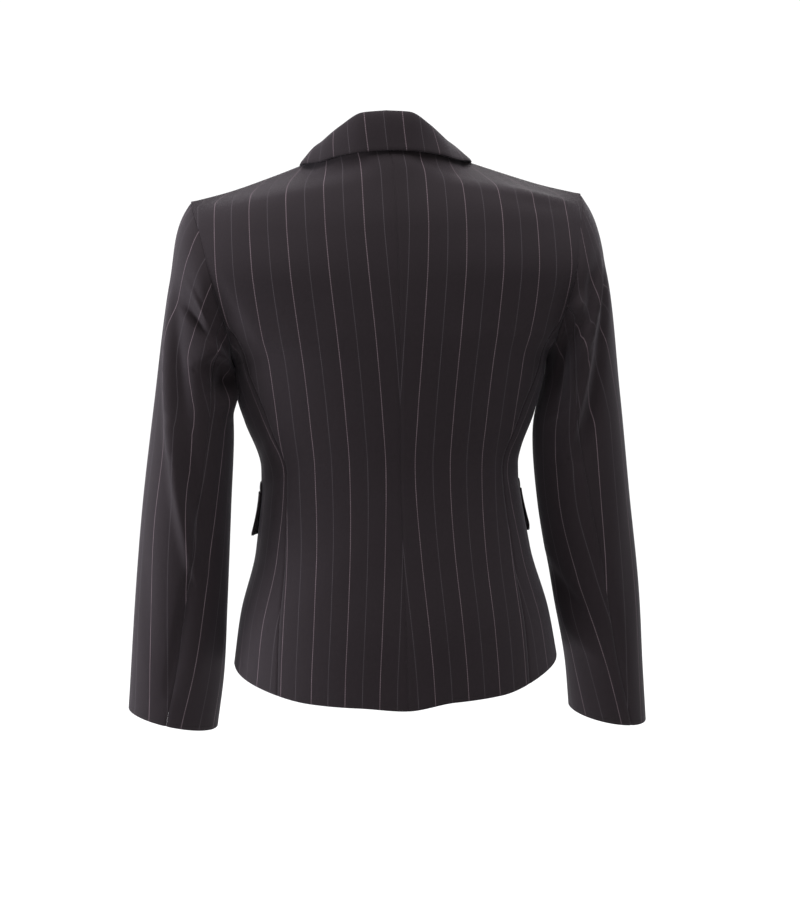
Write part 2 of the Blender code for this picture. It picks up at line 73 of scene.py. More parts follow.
# %% Driving dimensions
MM = 0.001
LEFT, RIGHT = 1, -1
SIDES = {"left": LEFT, "right": RIGHT}
CLOTH = 1.1                  # thickness of the suiting
DOUBLE = 2.0                 # thickness where cloth and facing lie together
FRONT_WALL = 1.6             # of the CAD model's fronts, which sets how high their lap stands
FLAP_WALL = 2.2
SEAM_GAP = 0.04
SHOULDER_GAP = 0.02
CENTRE_LAP = 0.12            # past centre back, so that no light shows through the seam
ARMHOLE_GAP = -0.9           # the sleeve's edge is tucked under the body's
SLEEVE_SEAM_GAP = 0.05
LAYER_GAP = 0.5
ROW_LENGTH = 170.0           # arc of a body row for one unit of t
UNDERARM, SIDE_TOP, BREAK, HEM = -238.0, -182.0, -300.0, -584.0
BUTTON_LEVEL, BUTTON_RADIUS, BUTTON_THICKNESS, BUTTON_CLEARANCE = -322.0, 10.0, 3.6, 0.8
RIGHT_SHOULDER_LIFT = 2.0
HEM_LIFT = {LEFT: (0.0, 4.0), RIGHT: (3.0, 8.0)}    # beside centre back, and more at the side
HEM_DIP = 3.0                # at centre back
WAIST_LEAN, WAIST_LEVEL, WAIST_SPREAD = 2.5, -335.0, 75.0    # towards the wearer's left
NECK_LEAN = 5.0              # towards the wearer's left
POSE = {                     # where each part of the pose begins and where it is full
    "centre": (0, 50), "side": (100, 165), "hem": (-480, -575), "shoulder": (60, 200),
    "chest": (-230, -70), "waist": (20, 120), "neck": (-40, 5),
}
SLEEVE_AROUND = 300.0        # arc of a sleeve all round
SIDE, CENTRE_FRONT = 1.0, 2.0
LAP_START, LAP_FULL = 1.68, 1.84    # t between which the right front rises over the left one
LAP_TOP = (-200.0, -150.0)   # levels between which it comes down again


def table(names, *rows):
    """Columns of a table, by name."""
    return {name: np.array([row[i] for row in rows], float) for i, name in enumerate(names.split())}


# %% [markdown]
# ## The block
#
# A tailor starts from a block: the body's rows from hem to shoulder. We could sculpt the body or
# drape it by simulation, but a real blazer takes its shape from its cut. So the rows are a table,
# one line for each height, and a smooth curve runs up through them. t runs round each half of the
# body, from 0 at centre back by 1 at the side to 2 at centre front.

# %% Rows of the body
BACK = table(
    "level depth side_x side_y side_z turn square slope",
    (-584, 127, 170, 0, -552, 90, 2.2, 0.0),
    (-520, 123, 162, 0, -497, 90, 2.2, 0.0),
    (-440, 107, 144, 0, -430, 90, 2.2, 0.0),
    (-345, 92, 135, 0, -345, 90, 2.15, 0.0),
    (-290, 98, 152.5, 0, -290, 90, 2.2, 0.0),
    (-238, 106, 164, 0, -238, 90, 2.3, 0.0),
    (-200, 109, 170, 50, -210, 74, 2.2, 0.2),
    (-150, 107, 188, 64, -150, 60, 2.1, 0.5),
    (-95, 98, 198, 38, -100, 58, 1.9, 0.8),
    (-45, 80, 203, 14, -78, 56, 1.6, 0.8),
)
FRONT = table(
    "level height depth side_x side_y side_z turn square slope edge_x",
    (-584, -560, -104, 170, 0, -552, 90, 2.2, 0.0, 16),
    (-520, -500, -108, 162, 0, -497, 90, 2.2, 0.0, -4),
    (-440, -430, -107, 144, 0, -430, 90, 2.2, 0.0, -15),
    (-345, -345, -99, 135, 0, -345, 90, 2.15, 0.0, -18),
    (-290, -290, -109, 152.5, 0, -290, 90, 2.2, 0.0, -14),
    (-238, -238, -123, 164, 0, -238, 90, 2.3, 0.0, 4),
    (-200, -202, -124, 170, -46, -210, 74, 2.2, 0.2, 16),
    (-150, -155, -116, 180, -62, -152, 60, 2.0, 0.5, 31),
    (-95, -112, -100, 193, -44, -102, 58, 1.8, 0.8, 46),
    (-45, -84, -80, 201, -20, -80, 56, 1.6, 0.8, 59),
)
NECK = table(
    "t x y z",
    (0.0, 0, 60, 0),
    (0.1, 26, 57, -2),
    (0.2, 50, 43, -9),
    (0.3, 67, 23, -17),
    (0.4, 76, 0, -24),
    (0.5, 75, -26, -40),
    (0.6, 68, -50, -68),
)
SHOULDER = table(
    "along x y z",
    (0.0, 76, 0, -24),
    (0.35, 120, -3, -40),
    (0.70, 165, -6, -55),
    (1.0, 205, -8, -65),
)
NECK_POINT = 0.4
print("body rows:", len(BACK["level"]), "from", BACK["level"][0], "to", BACK["level"][-1], "mm")

# %% Smooth curves through a table


def slopes(keys, values):
    """Slopes of the smooth curve through points, which never passes beyond its neighbours."""
    step = np.diff(keys).reshape((-1,) + (1,) * (values.ndim - 1))
    secant = np.diff(values, axis=0) / step
    inner = np.where(secant[:-1] * secant[1:] > 0,
                     2 * secant[:-1] * secant[1:] / (secant[:-1] + secant[1:] + 1e-12), 0.0)
    return np.concatenate([secant[:1], inner, secant[-1:]])


def bridge(f, start, leave, end, arrive):
    """A cubic from one value to another as f goes from 0 to 1, with its slopes there."""
    return ((2 * f**3 - 3 * f**2 + 1) * start + (f**3 - 2 * f**2 + f) * leave
            + (3 * f**2 - 2 * f**3) * end + (f**3 - f**2) * arrive)


def hermite(keys, values, slope, at):
    """Value at each key in `at`; values has one row per key, and may have one column per place."""
    i = np.clip(np.searchsorted(keys, at, side="right") - 1, 0, len(keys) - 2)
    width = keys[i + 1] - keys[i]
    place = (np.arange(len(at)),) if values.ndim > 1 else ()
    here, there = (i, *place), (i + 1, *place)
    return bridge(np.clip((at - keys[i]) / width, 0, 1), values[here], width * slope[here],
                  values[there], width * slope[there])


def smooth(rows, name, at):
    """A column of a table, read smoothly at values of the table's first column."""
    keys, values = next(iter(rows.values())), rows[name]
    return hermite(keys, values, slopes(keys, values), np.asarray(at, float))


def ease(start, end, value):
    f = np.clip((value - start) / (end - start), 0, 1)
    return f * f * (3 - 2 * f)


def norm(vectors):
    return np.linalg.norm(vectors, axis=-1, keepdims=True)


def unit(vectors):
    return vectors / (norm(vectors) + 1e-12)


print("a quarter of the way through an ease:", round(float(ease(0, 1, 0.25)), 3))

# %% The body's surface
T_STEP, LEVEL_STEP = 0.004, 1.5    # over which the surface's directions are taken


def row_points(rows, centre_height, across):
    """Points of every row at each `across`, 0 at the centre line and 1 at the side."""
    turn = np.radians(rows["turn"])[:, None]
    power = (2 / rows["square"])[:, None]
    angle = turn * across[None, :]
    wide = np.sign(angle) * np.abs(np.sin(angle)) ** power / np.sin(turn) ** power
    corner = np.maximum(np.cos(turn), 0) ** power
    round_ = (np.abs(np.cos(angle)) ** power - corner) / (1 - corner)
    slope = rows["slope"][:, None]
    fall = (1 - round_) * (1 - slope) + np.abs(wide) * slope
    x = rows["side_x"][:, None] * wide
    y = rows["side_y"][:, None] + (rows["depth"] - rows["side_y"])[:, None] * round_
    z = centre_height[:, None] + (rows["side_z"] - centre_height)[:, None] * fall
    return x, y, z


def top_points(t):
    """The neck and shoulder seams, for t on either half."""
    back = t <= SIDE
    neck_t = np.where(back, np.minimum(t, NECK_POINT), 3 * NECK_POINT + 2 * (t - 2))
    on_neck = np.where(back, t < NECK_POINT, t > 2 - NECK_POINT)
    along = np.where(back, t - NECK_POINT, 2 - NECK_POINT - t) / (1 - NECK_POINT)
    points = [np.where(on_neck, smooth(NECK, axis, np.clip(neck_t, 0, NECK["t"][-1])),
                       smooth(SHOULDER, axis, np.clip(along, 0, 1))) for axis in "xyz"]
    points[1] = points[1] + np.where(back, SHOULDER_GAP, -SHOULDER_GAP)
    return points


def half_body(rows, heights, across, t, level):
    """Points of the front or back half: a smooth curve up through its rows for each t."""
    keys = np.append(rows["level"], 0.0)
    columns = [np.vstack([row, top]) for row, top in
               zip(row_points(rows, heights, across), top_points(t))]
    return [hermite(keys, column, slopes(keys, column), level) for column in columns]


def settle(side, points):
    """The pose: the right shoulder and hem are carried higher, the waist and neck lean to the left."""
    aside, height = np.abs(points[..., 0]), points[..., 2].copy()
    near, far = HEM_LIFT[side]
    middle = ease(*POSE["centre"], aside)
    lift = near * middle + far * ease(*POSE["side"], aside) - HEM_DIP * (1 - middle)
    points[..., 2] += lift * ease(*POSE["hem"], height)
    if side == RIGHT:
        points[..., 2] += (RIGHT_SHOULDER_LIFT * ease(*POSE["shoulder"], aside)
                           * ease(*POSE["chest"], height))
    waist = np.exp(-((height - WAIST_LEVEL) / WAIST_SPREAD) ** 2)
    points[..., 0] += WAIST_LEAN * waist * ease(*POSE["waist"], aside)
    points[..., 0] += NECK_LEAN * ease(*POSE["neck"], height)
    return points


def body(side, t, level):
    """Points of the body's outer surface, in millimetres."""
    t, level = np.broadcast_arrays(np.asarray(t, float), np.asarray(level, float))
    shape = t.shape
    t, level = t.ravel(), level.ravel()
    back = half_body(BACK, BACK["level"], t, np.minimum(t, SIDE), level)
    front = half_body(FRONT, FRONT["height"], 2 - t, np.maximum(t, SIDE + 1e-9), level)
    x, y, z = (np.where(t <= SIDE, b, f) for b, f in zip(back, front))
    return settle(side, np.stack([side * x, y, z], axis=-1)).reshape(shape + (3,))


def outward(side, t, level):
    """Unit normals of the body's surface, pointing away from the wearer."""
    across = body(side, t + T_STEP, level) - body(side, t - T_STEP, level)
    upward = body(side, t, level + LEVEL_STEP) - body(side, t, level - LEVEL_STEP)
    return unit(np.cross(upward, across) * side)


def raised(side, t, level, height):
    """Points of the body's surface, moved out."""
    return body(side, t, level) + outward(side, t, level) * np.asarray(height)[..., None]


print("half chest:", round(float(body(LEFT, np.array([1.0]), UNDERARM)[0, 0]), 1), "mm")

# %% [markdown]
# ## Cutting the panels
#
# The seams that shape the waist run from the armhole to the hem. Each panel is the stretch of the
# block between two seams, so neighbours always fit. A panel is a function of (u, v), each from 0
# to 1 across and up the piece.

# %% Seams and panels
SIDE_SEAM = table(
    "level t",
    (-584, 0.54),
    (-520, 0.56),
    (-440, 0.60),
    (-345, 0.62),
    (-290, 0.65),
    (-238, 0.74),
    (-205, 0.88),
    (SIDE_TOP, 1.0),
)
SIDE_FRONT_SHARE = 0.8
CORNER_START, CORNER_RISE, CORNER_POWER = 0.5, 46.0, 2.4    # the front's rounded hem corner
SCOOP = 0.7                  # power of the side panel's curve under the arm


def side_back(level):
    return smooth(SIDE_SEAM, "t", level)


def side_front(level):
    return SIDE + SIDE_FRONT_SHARE * (SIDE - side_back(level))


def front_t(x, level):
    """t of the place on a front row that lies x from centre front."""
    side_x = smooth(FRONT, "side_x", level)
    power = smooth(FRONT, "square", level) / 2
    turn = np.radians(smooth(FRONT, "turn", level))
    share = np.abs(x / side_x) ** power * np.sin(turn)
    return CENTRE_FRONT - np.sign(x) * np.arcsin(np.clip(share, 0, 1)) / turn


def front_edge(level):
    """t of the front edge, which is the roll line above the break."""
    free = front_t(smooth(FRONT, "edge_x", level), level)
    top = ease(-45, 0, level)
    return free * (1 - top) + (CENTRE_FRONT - NECK_POINT) * top


def overlap_height(side, t, level):
    """The right front lies on the left one where they lap."""
    if side == LEFT:
        return np.zeros_like(t)
    return (FRONT_WALL + LAYER_GAP) * ease(LAP_START, LAP_FULL, t) * (1 - ease(*LAP_TOP, level))


def back_panel(side, u, v):
    level = HEM * (1 - v)
    seam = side_back(level) - np.where(level <= SIDE_TOP, 1, 0) * SEAM_GAP / ROW_LENGTH
    points = body(side, seam * u, level)
    points[:, 0] -= side * CENTRE_LAP * (1 - u) ** 8
    return points, seam * u, level


def side_panel(side, u, v):
    seam_level = HEM + (SIDE_TOP - HEM) * v - SEAM_GAP * v ** 8
    start = side_back(seam_level)
    t = start + (side_front(seam_level) - start) * u
    middle = 1 / (1 + SIDE_FRONT_SHARE)
    dip = np.where(u < middle, u / middle, (1 - u) / (1 - middle)) ** SCOOP
    level = seam_level + (UNDERARM - SIDE_TOP) * dip * v ** 2
    return body(side, t, level), t, level


def front_panel(side, u, v):
    level = HEM * (1 - v)
    start = side_front(level) + np.where(level <= SIDE_TOP, 1, 0) * SEAM_GAP / ROW_LENGTH
    start = np.maximum(start, SIDE + 1e-7)
    t = start + (front_edge(level) - start) * u
    corner = CORNER_RISE * np.clip((u - CORNER_START) / (1 - CORNER_START), 0, 1) ** CORNER_POWER
    level = level + corner * np.clip((BREAK - level) / (BREAK - HEM), 0, 1) ** 2
    return raised(side, t, level, overlap_height(side, t, level)), t, level


print("back panel at the waist:", round(float(side_back(WAIST_LEVEL)) * ROW_LENGTH), "mm of the row")

# %% [markdown]
# ## Folds and pressed seams
#
# Cloth on a body is never quite smooth. A fold could come from a cloth simulation, but these folds
# are few, long and soft, and they should lie where they lie on the real blazer. So each one is a
# line with a width and a height, and the sheet is raised or sunk along it. One side of a fold is
# steeper than the other. At a seam the cloth turns in, so every sewn edge dips a little.

# %% Folds
SEAM_DIP, SEAM_SOFT = 0.65, 1.7
FOLD_END = 0.35              # share of a fold's height that is left at its ends

BODY_FOLDS = {
    LEFT: table(
        "across_1 along_1 across_2 along_2 width height lean",
        (0, -15, 70, -30, 9, -2.2, 0.2),
        (20, -34, 120, -52, 16, 1.2, 0.0),
        (150, -150, 112, -214, 12, 1.6, 0.3),
        (168, -190, 128, -262, 11, -1.8, -0.2),
        (168, -240, 166, -292, 22, 3.2, 0.0),
        (96, -300, 150, -338, 10, 1.3, 0.2),
        (110, -345, 160, -372, 11, -1.4, 0.1),
        (60, -330, 118, -352, 14, -0.9, 0.0),
        (30, -420, 84, -500, 20, 1.0, 0.0),
        (190, -250, 236, -330, 12, 1.4, 0.2),
        (205, -330, 262, -350, 11, -1.3, 0.0),
        (268, -214, 262, -368, 2.6, -1.0, 0.0),
        (278, -322, 322, -322, 7, -1.2, 0.2),
        (270, -300, 320, -308, 9, 0.9, 0.0),
    ),
    RIGHT: table(
        "across_1 along_1 across_2 along_2 width height lean",
        (0, -15, 66, -28, 9, -2.2, -0.2),
        (92, -34, 156, -42, 12, 1.8, 0.3),
        (86, -52, 148, -64, 14, -0.9, 0.0),
        (152, -140, 110, -196, 12, 1.6, 0.3),
        (166, -186, 132, -250, 12, -2.0, -0.2),
        (100, -306, 152, -330, 11, 1.1, 0.2),
        (104, -350, 160, -364, 10, -1.2, 0.1),
        (20, -440, 70, -520, 22, 0.9, 0.0),
        (188, -246, 230, -322, 12, 1.3, 0.2),
        (200, -336, 258, -352, 10, -1.2, 0.0),
        (268, -214, 262, -370, 2.6, -1.0, 0.0),
        (276, -318, 318, -320, 7, -1.1, 0.2),
        (266, -296, 316, -304, 9, 0.8, 0.0),
    ),
}


def fold_height(folds, across, along):
    """Height of the folds at each place, in the two directions that their table is written in."""
    height = np.zeros_like(across)
    for a1, l1, a2, l2, width, tall, lean in zip(*folds.values()):
        run_a, run_l = a2 - a1, l2 - l1
        length = math.hypot(run_a, run_l)
        share = np.clip(((across - a1) * run_a + (along - l1) * run_l) / length ** 2, 0, 1)
        off_a, off_l = across - a1 - share * run_a, along - l1 - share * run_l
        beside = np.sign(off_a * run_l - off_l * run_a)
        distance = np.hypot(off_a, off_l) / (width * (1 + lean * beside))
        height += tall * (FOLD_END + (1 - FOLD_END) * np.sin(math.pi * share)) * np.exp(-distance ** 2)
    return height


def arc_length(points, axis):
    """Length from the first point, along one direction of a grid."""
    steps = np.diff(points, axis=axis, prepend=np.take(points, [0], axis))
    return np.cumsum(norm(steps)[..., 0], axis=axis)


def seam_dips(points, seams):
    """How far the sheet turns in at its sewn edges."""
    across, along = arc_length(points, 1), arc_length(points, 0)
    away = {"start": across, "end": across[:, -1:] - across, "bottom": along, "top": along[-1:] - along}
    return -SEAM_DIP * sum(np.exp(-(away[seam] / SEAM_SOFT) ** 2) for seam in seams)


def normals(points, facing):
    """Unit normals of a grid of points, on the side that `facing` gives."""
    return unit(np.cross(np.gradient(points, axis=1), np.gradient(points, axis=0)) * facing)


def moved_out(points, facing, height):
    return points + normals(points, facing) * height[..., None]


print("folds on the body:", [len(folds["width"]) for folds in BODY_FOLDS.values()])

# %% [markdown]
# ## From a surface to a sheet of cloth
#
# `create_grid` makes a flat sheet, and every vertex is then moved to its place on the panel, like
# cloth laid on a form. The sheet keeps its grain in a UV map in metres: U is measured across the
# cloth and V along it, so a pinstripe is simply a constant U, as it is on a real bolt. The columns
# crowd towards the seams, where the surface turns fastest.

# %% Sheets
TURN_RADIUS = 1.15           # of the fold at a hem
TURN_ANGLES = np.radians([180, 144, 108, 72, 36])
TURN_START, TURN_END, TURN_LENGTH = 3.6, 0.7, 4    # on the grain, round the fold
HEM_DEPTH, CUFF_DEPTH = 32.0, 30.0
HEM_ROWS = (1, 0.75, 0.5, 0.25, 0.08)    # shares of the turned-up depth that have a row
CROWDING = 0.75
every_sheet = []


def crowded(count):
    """From 0 to 1, in steps that are a quarter of the even step at both ends."""
    s = np.linspace(0, 1, count + 1)
    return s - CROWDING * np.sin(2 * math.pi * s) / (2 * math.pi)


def panel_grid(columns, rows):
    u, v = np.meshgrid(crowded(columns), np.linspace(0, 1, rows + 1))
    return u.ravel(), v.ravel(), (rows + 1, columns + 1)


def grain_map(points, across):
    """U as given, and V as the length up the sheet's middle column."""
    middle = points.shape[1] // 2
    along = arc_length(points, 0)[:, middle:middle + 1] + 0 * across
    return np.stack([across, along], axis=-1)


def turned_up(points, normal, grain, depth):
    """The sheet with its first edge folded inwards and laid up the inside, as a hem is."""
    down = unit(points[0] - points[1])
    centre = points[0] - normal[0] * TURN_RADIUS
    arc = [centre + TURN_RADIUS * (math.cos(a) * normal[0] + math.sin(a) * down)
           for a in TURN_ANGLES]
    up = np.linalg.norm(points[:, 0] - points[0, 0], axis=-1)
    inside = [int(np.argmin(np.abs(up - depth * share))) for share in HEM_ROWS]
    rows = [points[i] - 2 * TURN_RADIUS * normal[i] for i in inside] + arc
    edge = grain[0]
    lengths = [-up[i] - TURN_LENGTH for i in inside] + list(np.linspace(-TURN_START, -TURN_END, len(arc)))
    extra = [np.stack([edge[:, 0], edge[:, 1] + length], axis=-1) for length in lengths]
    return np.concatenate([rows, points]), np.concatenate([extra, grain])


def draped(points):
    """A flat grid, with its vertices moved to a grid of points."""
    bm = bmesh.new()
    bmesh.ops.create_grid(bm, x_segments=points.shape[1] - 1, y_segments=points.shape[0] - 1, size=0.5)
    for vert, point in zip(bm.verts, points.reshape(-1, 3) * MM):
        vert.co = point
    return bm


def piece(name, bm, finish):
    """The object of a finished mesh."""
    mesh = bpy.data.meshes.new(name)
    bm.to_mesh(mesh)
    bm.free()
    mesh.materials.append(finish)
    mesh.shade_smooth()
    made = bpy.data.objects.new(name, mesh)
    bpy.context.scene.collection.objects.link(made)
    return made


def cloth(name, points, grain, facing, thickness, node=None):
    """A sheet of cloth through a grid of points, with its wall on the inner side."""
    bm = draped(points)
    if facing < 0:
        bmesh.ops.reverse_faces(bm, faces=bm.faces)
    sheet = piece(name, bm, SUITING)
    mesh = sheet.data
    corner = np.zeros(len(mesh.loops), int)
    mesh.loops.foreach_get("vertex_index", corner)
    mesh.uv_layers.new(name="Grain").data.foreach_set("uv", (grain.reshape(-1, 2) * MM)[corner].ravel())
    wall = sheet.modifiers.new("Wall", "SOLIDIFY")
    wall.thickness = thickness * MM
    wall.offset = -1
    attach(sheet, "root")
    if node:
        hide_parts(node)
    every_sheet.append(sheet)
    print(name, len(mesh.polygons), "faces,", [round(c, 3) for c in sheet.dimensions])


print("steps of eight columns:", np.diff(crowded(8)).round(3))

# %% [markdown]
# ## The suiting
#
# Worsted suiting is woven in a fine twill, nearly black here, and its pinstripes are single yarns
# of another colour, 20 mm apart. Dusty pink and faint grey ones take turns. A picture of cloth
# could be wrapped round each panel, but it would blur close up. So the stripes and the weave are
# worked out from the grain map, and a little sheen catches the light along the edges, as fine wool
# does.

# %% A small class for shader maths


class Value:
    """A number that varies over a surface, so that shader maths can be written as Python."""

    def __init__(self, finish, socket):
        self.finish, self.socket = finish, socket

    def __add__(self, other): return self.finish.maths("ADD", self, other)
    def __sub__(self, other): return self.finish.maths("SUBTRACT", self, other)
    def __mul__(self, other): return self.finish.maths("MULTIPLY", self, other)
    def __truediv__(self, other): return self.finish.maths("DIVIDE", self, other)
    def __abs__(self): return self.finish.maths("ABSOLUTE", self)


class Finish:
    """A material, and short ways to add nodes to it."""

    def __init__(self, name):
        self.material = bpy.data.materials.new(name)
        self.material.use_nodes = True
        self.tree = self.material.node_tree
        self.surface = self.tree.nodes["Principled BSDF"]

    def node(self, kind, settings=None, inputs=()):
        """A node: its settings first, then its sockets, by place or by name."""
        made = self.tree.nodes.new(kind)
        for key, value in (settings or {}).items():
            setattr(made, key, value)
        for key, value in (inputs.items() if isinstance(inputs, dict) else enumerate(inputs)):
            self.join(made.inputs[key], value)
        return {socket.name: Value(self, socket) for socket in made.outputs if socket.enabled}

    def join(self, socket, value):
        if isinstance(value, Value):
            self.tree.links.new(value.socket, socket)
        else:
            socket.default_value = value

    def maths(self, operation, *values):
        return self.node("ShaderNodeMath", {"operation": operation}, values)["Value"]

    def mix(self, factor, first, second):
        """A colour between two others."""
        made = self.tree.nodes.new("ShaderNodeMix")
        made.data_type = "RGBA"
        for socket, value in zip((made.inputs[0], made.inputs[6], made.inputs[7]), (factor, first, second)):
            self.join(socket, value)
        return Value(self, made.outputs[2])

    def noise(self, place, scale, detail):
        made = self.node("ShaderNodeTexNoise", inputs={"Vector": place, "Scale": scale, "Detail": detail})
        return made["Fac" if "Fac" in made else "Factor"]

    def set(self, **values):
        """Values of the surface's own sockets, with _ for a space."""
        for key, value in values.items():
            self.join(self.surface.inputs[key.replace("_", " ")], value)


# %% The suiting
STRIPE_REPEAT = 0.040        # of one colour; the two take turns 20 mm apart
BRIGHT_AT, FAINT_AT = 0.034, 0.014
STRIPE_WIDTH, STRIPE_CORE, STRIPE_END = 0.0008, 0.35, 0.65    # the yarn fades out between these shares
YARN_TURN, TWILL_RIB = 0.0024, 0.0011    # metres for one turn of the yarn, and from rib to rib
DARK = (0.0059, 0.0045, 0.0050, 1.0)
DARKER = (0.0046, 0.0035, 0.0039, 1.0)
BRIGHT = (0.050, 0.038, 0.042, 1.0)
FAINT = (0.0185, 0.0158, 0.0175, 1.0)


def suiting():
    finish = Finish("suiting")
    grain = finish.node("ShaderNodeUVMap", {"uv_map": "Grain"})["UV"]
    parts = finish.node("ShaderNodeSeparateXYZ", inputs=[grain])
    across, along = parts["X"], parts["Y"]
    place = finish.node("ShaderNodeTexCoord")["Object"]

    def stripe(at):
        """1 on the yarns of one colour and 0 between them."""
        turns = (across - at) / STRIPE_REPEAT
        nearest = finish.maths("ROUND", turns)
        off = abs(turns - nearest) * STRIPE_REPEAT
        return finish.node("ShaderNodeMapRange", {"interpolation_type": "SMOOTHSTEP"},
                           [off, STRIPE_WIDTH * STRIPE_CORE, STRIPE_WIDTH * STRIPE_END, 1.0, 0.0])["Result"]

    pick = finish.maths("SINE", along * (2 * math.pi / YARN_TURN)) * 0.22 + 0.78
    uneven = finish.noise(place, 38.0, 3.0) * 0.9 + 0.45
    bright, faint = stripe(BRIGHT_AT) * pick * uneven, stripe(FAINT_AT) * pick * uneven

    twill = finish.maths("SINE", (across + along) * (2 * math.pi / TWILL_RIB))
    ground = finish.mix(finish.noise(place, 9.0, 4.0), DARKER, DARK)
    colour = finish.mix(finish.maths("MINIMUM", faint, 1.0), ground, FAINT)
    colour = finish.mix(finish.maths("MINIMUM", bright, 1.0), colour, BRIGHT)
    height = twill * 0.5 + finish.noise(place, 900.0, 2.0)
    bump = finish.node("ShaderNodeBump", inputs={"Strength": 0.22, "Distance": 0.0002, "Height": height})
    finish.set(Base_Color=colour, Roughness=0.78, Normal=bump["Normal"])
    finish.set(Specular_IOR_Level=0.05, Specular_Tint=(1.0, 0.88, 0.94, 1.0), Sheen_Weight=0.03,
               Sheen_Roughness=0.5, Sheen_Tint=(0.94, 0.86, 0.96, 1.0))
    return finish.material


SUITING = suiting()
print("suiting nodes:", len(SUITING.node_tree.nodes))

# %% [markdown]
# ## Back, side and front panels
#
# The back is two panels joined at the centre-back seam, which takes in about 18 mm on each side at
# the waist. That is why the middle stripes run into the seam at the waist and come out again over
# the hips. So U on the back panels starts from the amount taken in at that height. Below the waist
# the real stripes lie closer, because other seams take cloth in too, and U grows faster there. The
# front is cut with its stripes parallel to the front edge, and the side panel along its own middle.

# %% Body panels
TAKE_IN = table("level width", (-584, 1.5), (-557, 2.8), (-517, 6.0), (-435, 12.8), (-342, 17.7),
                (-292, 15.0), (-210, 9.2), (-129, 3.0), (-88, 0.9), (-45, 0.5), (0, 0))
CLOSER = table("level ratio", (-584, 1.12), (-435, 1.12), (-342, 1.075), (-292, 1.06), (-210, 1.025),
               (-130, 1.0), (0, 1.0))
FRONT_STRIPE = 6.0           # of the first stripe, from centre front
SIDE_STRIPE = {LEFT: 8.5, RIGHT: 3.0}    # of the middle of the side panel
UNDER_SLEEVE = 200.0         # how much further from the armhole a place below it counts
FOLD_REACH, DIP_REACH = 24, 6    # from the armhole, where folds and seam dips are full


def dressed(side, surface, columns, rows, facing, seams, across_from):
    """Points, normals and grain of a body panel."""
    u, v, shape = panel_grid(columns, rows)
    points, t, level = surface(side, u, v)
    points, t, level = points.reshape(shape + (3,)), t.reshape(shape), level.reshape(shape)
    grain = grain_map(points, across_from(arc_length(points, 1), t, level))
    away = np.abs(t - SIDE) * ROW_LENGTH + UNDER_SLEEVE * ease(UNDERARM, UNDERARM - 20, level)
    height = fold_height(BODY_FOLDS[side], t * ROW_LENGTH, level) * ease(0, FOLD_REACH, away)
    height += seam_dips(points, seams) * ease(0, DIP_REACH, away)
    points = moved_out(points, facing, height)
    return points, normals(points, facing), grain


def hemmed(node, facing, points, normal, grain):
    points, grain = turned_up(points, normal, grain, HEM_DEPTH)
    cloth(f"cloth_{node}", points, grain, facing, CLOTH, node)


def from_centre_back(arc, t, level):
    return arc * smooth(CLOSER, "ratio", level) + smooth(TAKE_IN, "width", level)


def from_middle(side):
    return lambda arc, t, level: arc - arc[:, -1:] / 2 + SIDE_STRIPE[side]


def from_centre_front(arc, t, level):
    edge = np.interp(level[:, -1:], FRONT["level"], FRONT["edge_x"])
    return arc[:, -1:] - arc + edge + FRONT_STRIPE


for word, side in SIDES.items():
    for part, surface, columns, rows, seams, across_from in (
            ("back", back_panel, 60, 216, ("start", "end", "top"), from_centre_back),
            ("side", side_panel, 44, 150, ("start", "end", "top"), from_middle(side)),
            ("front", front_panel, 60, 216, ("start", "top"), from_centre_front)):
        sheet = dressed(side, surface, columns, rows, -side, seams, across_from)
        hemmed(f"{part}_{word}", -side, *sheet)

# %% [markdown]
# ## Lapels and pocket flaps
#
# A lapel is the front's facing turned out along the roll line. It lies on the chest but springs a
# little where it rolls. A flap comes out from under a jet, which is a narrow welt, and hangs free,
# and here the left one stands away at its back end. All are points of the body's surface moved
# out, so they can't float.

# %% Lapels
LAPEL = table("along width", (0.0, 3), (0.25, 27), (0.5, 47), (0.75, 63), (0.92, 72), (1.0, 74))
LAPEL_TOP_INNER, LAPEL_TOP_OUTER = -13.0, -60.0
LAPEL_BOTTOM = {LEFT: -262.0, RIGHT: BREAK + 8}
LAPEL_CLEARANCE = 3.0
LAPEL_ROLL = 2.0
LAPEL_STRIPE = 22.0          # U at the lapel's outer edge


def lapel(side, u, v):
    """From the roll line, u 0, out over the front; v runs up from the break to the notch."""
    bottom = LAPEL_BOTTOM[side]
    inner = bottom + (LAPEL_TOP_INNER - bottom) * v
    outer = bottom + (LAPEL_TOP_OUTER - bottom) * v
    level = inner + (outer - inner) * u
    width = smooth(LAPEL, "width", (inner - BREAK) / (LAPEL_TOP_INNER - BREAK))
    edge = smooth(FRONT, "edge_x", level)
    end = edge + width
    start = edge if side == RIGHT else np.maximum(edge, LAPEL_CLEARANCE - edge)
    t = front_t(start + (end - start) * u, level)
    t -= (front_t(edge, level) - front_edge(level)) * (1 - u)
    lift = overlap_height(side, t, level) + LAYER_GAP * 1.5 + DOUBLE + LAPEL_ROLL * (1 - u) * v
    return raised(side, t, level, lift)


def plain_sheet(name, surface, columns, rows, facing, thickness, node, edges, across):
    """A sheet with soft edges; `across` gives U from the lengths along its rows."""
    u, v, shape = panel_grid(columns, rows)
    points = surface(u, v).reshape(shape + (3,))
    points = moved_out(points, facing, seam_dips(points, edges))
    cloth(name, points, grain_map(points, across(arc_length(points, 1))), facing, thickness, node)


for word, side in SIDES.items():
    plain_sheet(f"cloth_lapel_{word}", lambda u, v: lapel(side, u, v), 34, 110, side, DOUBLE,
                f"lapel_{word}", ("end", "top"), lambda arc: arc[:, -1:] - arc + LAPEL_STRIPE)

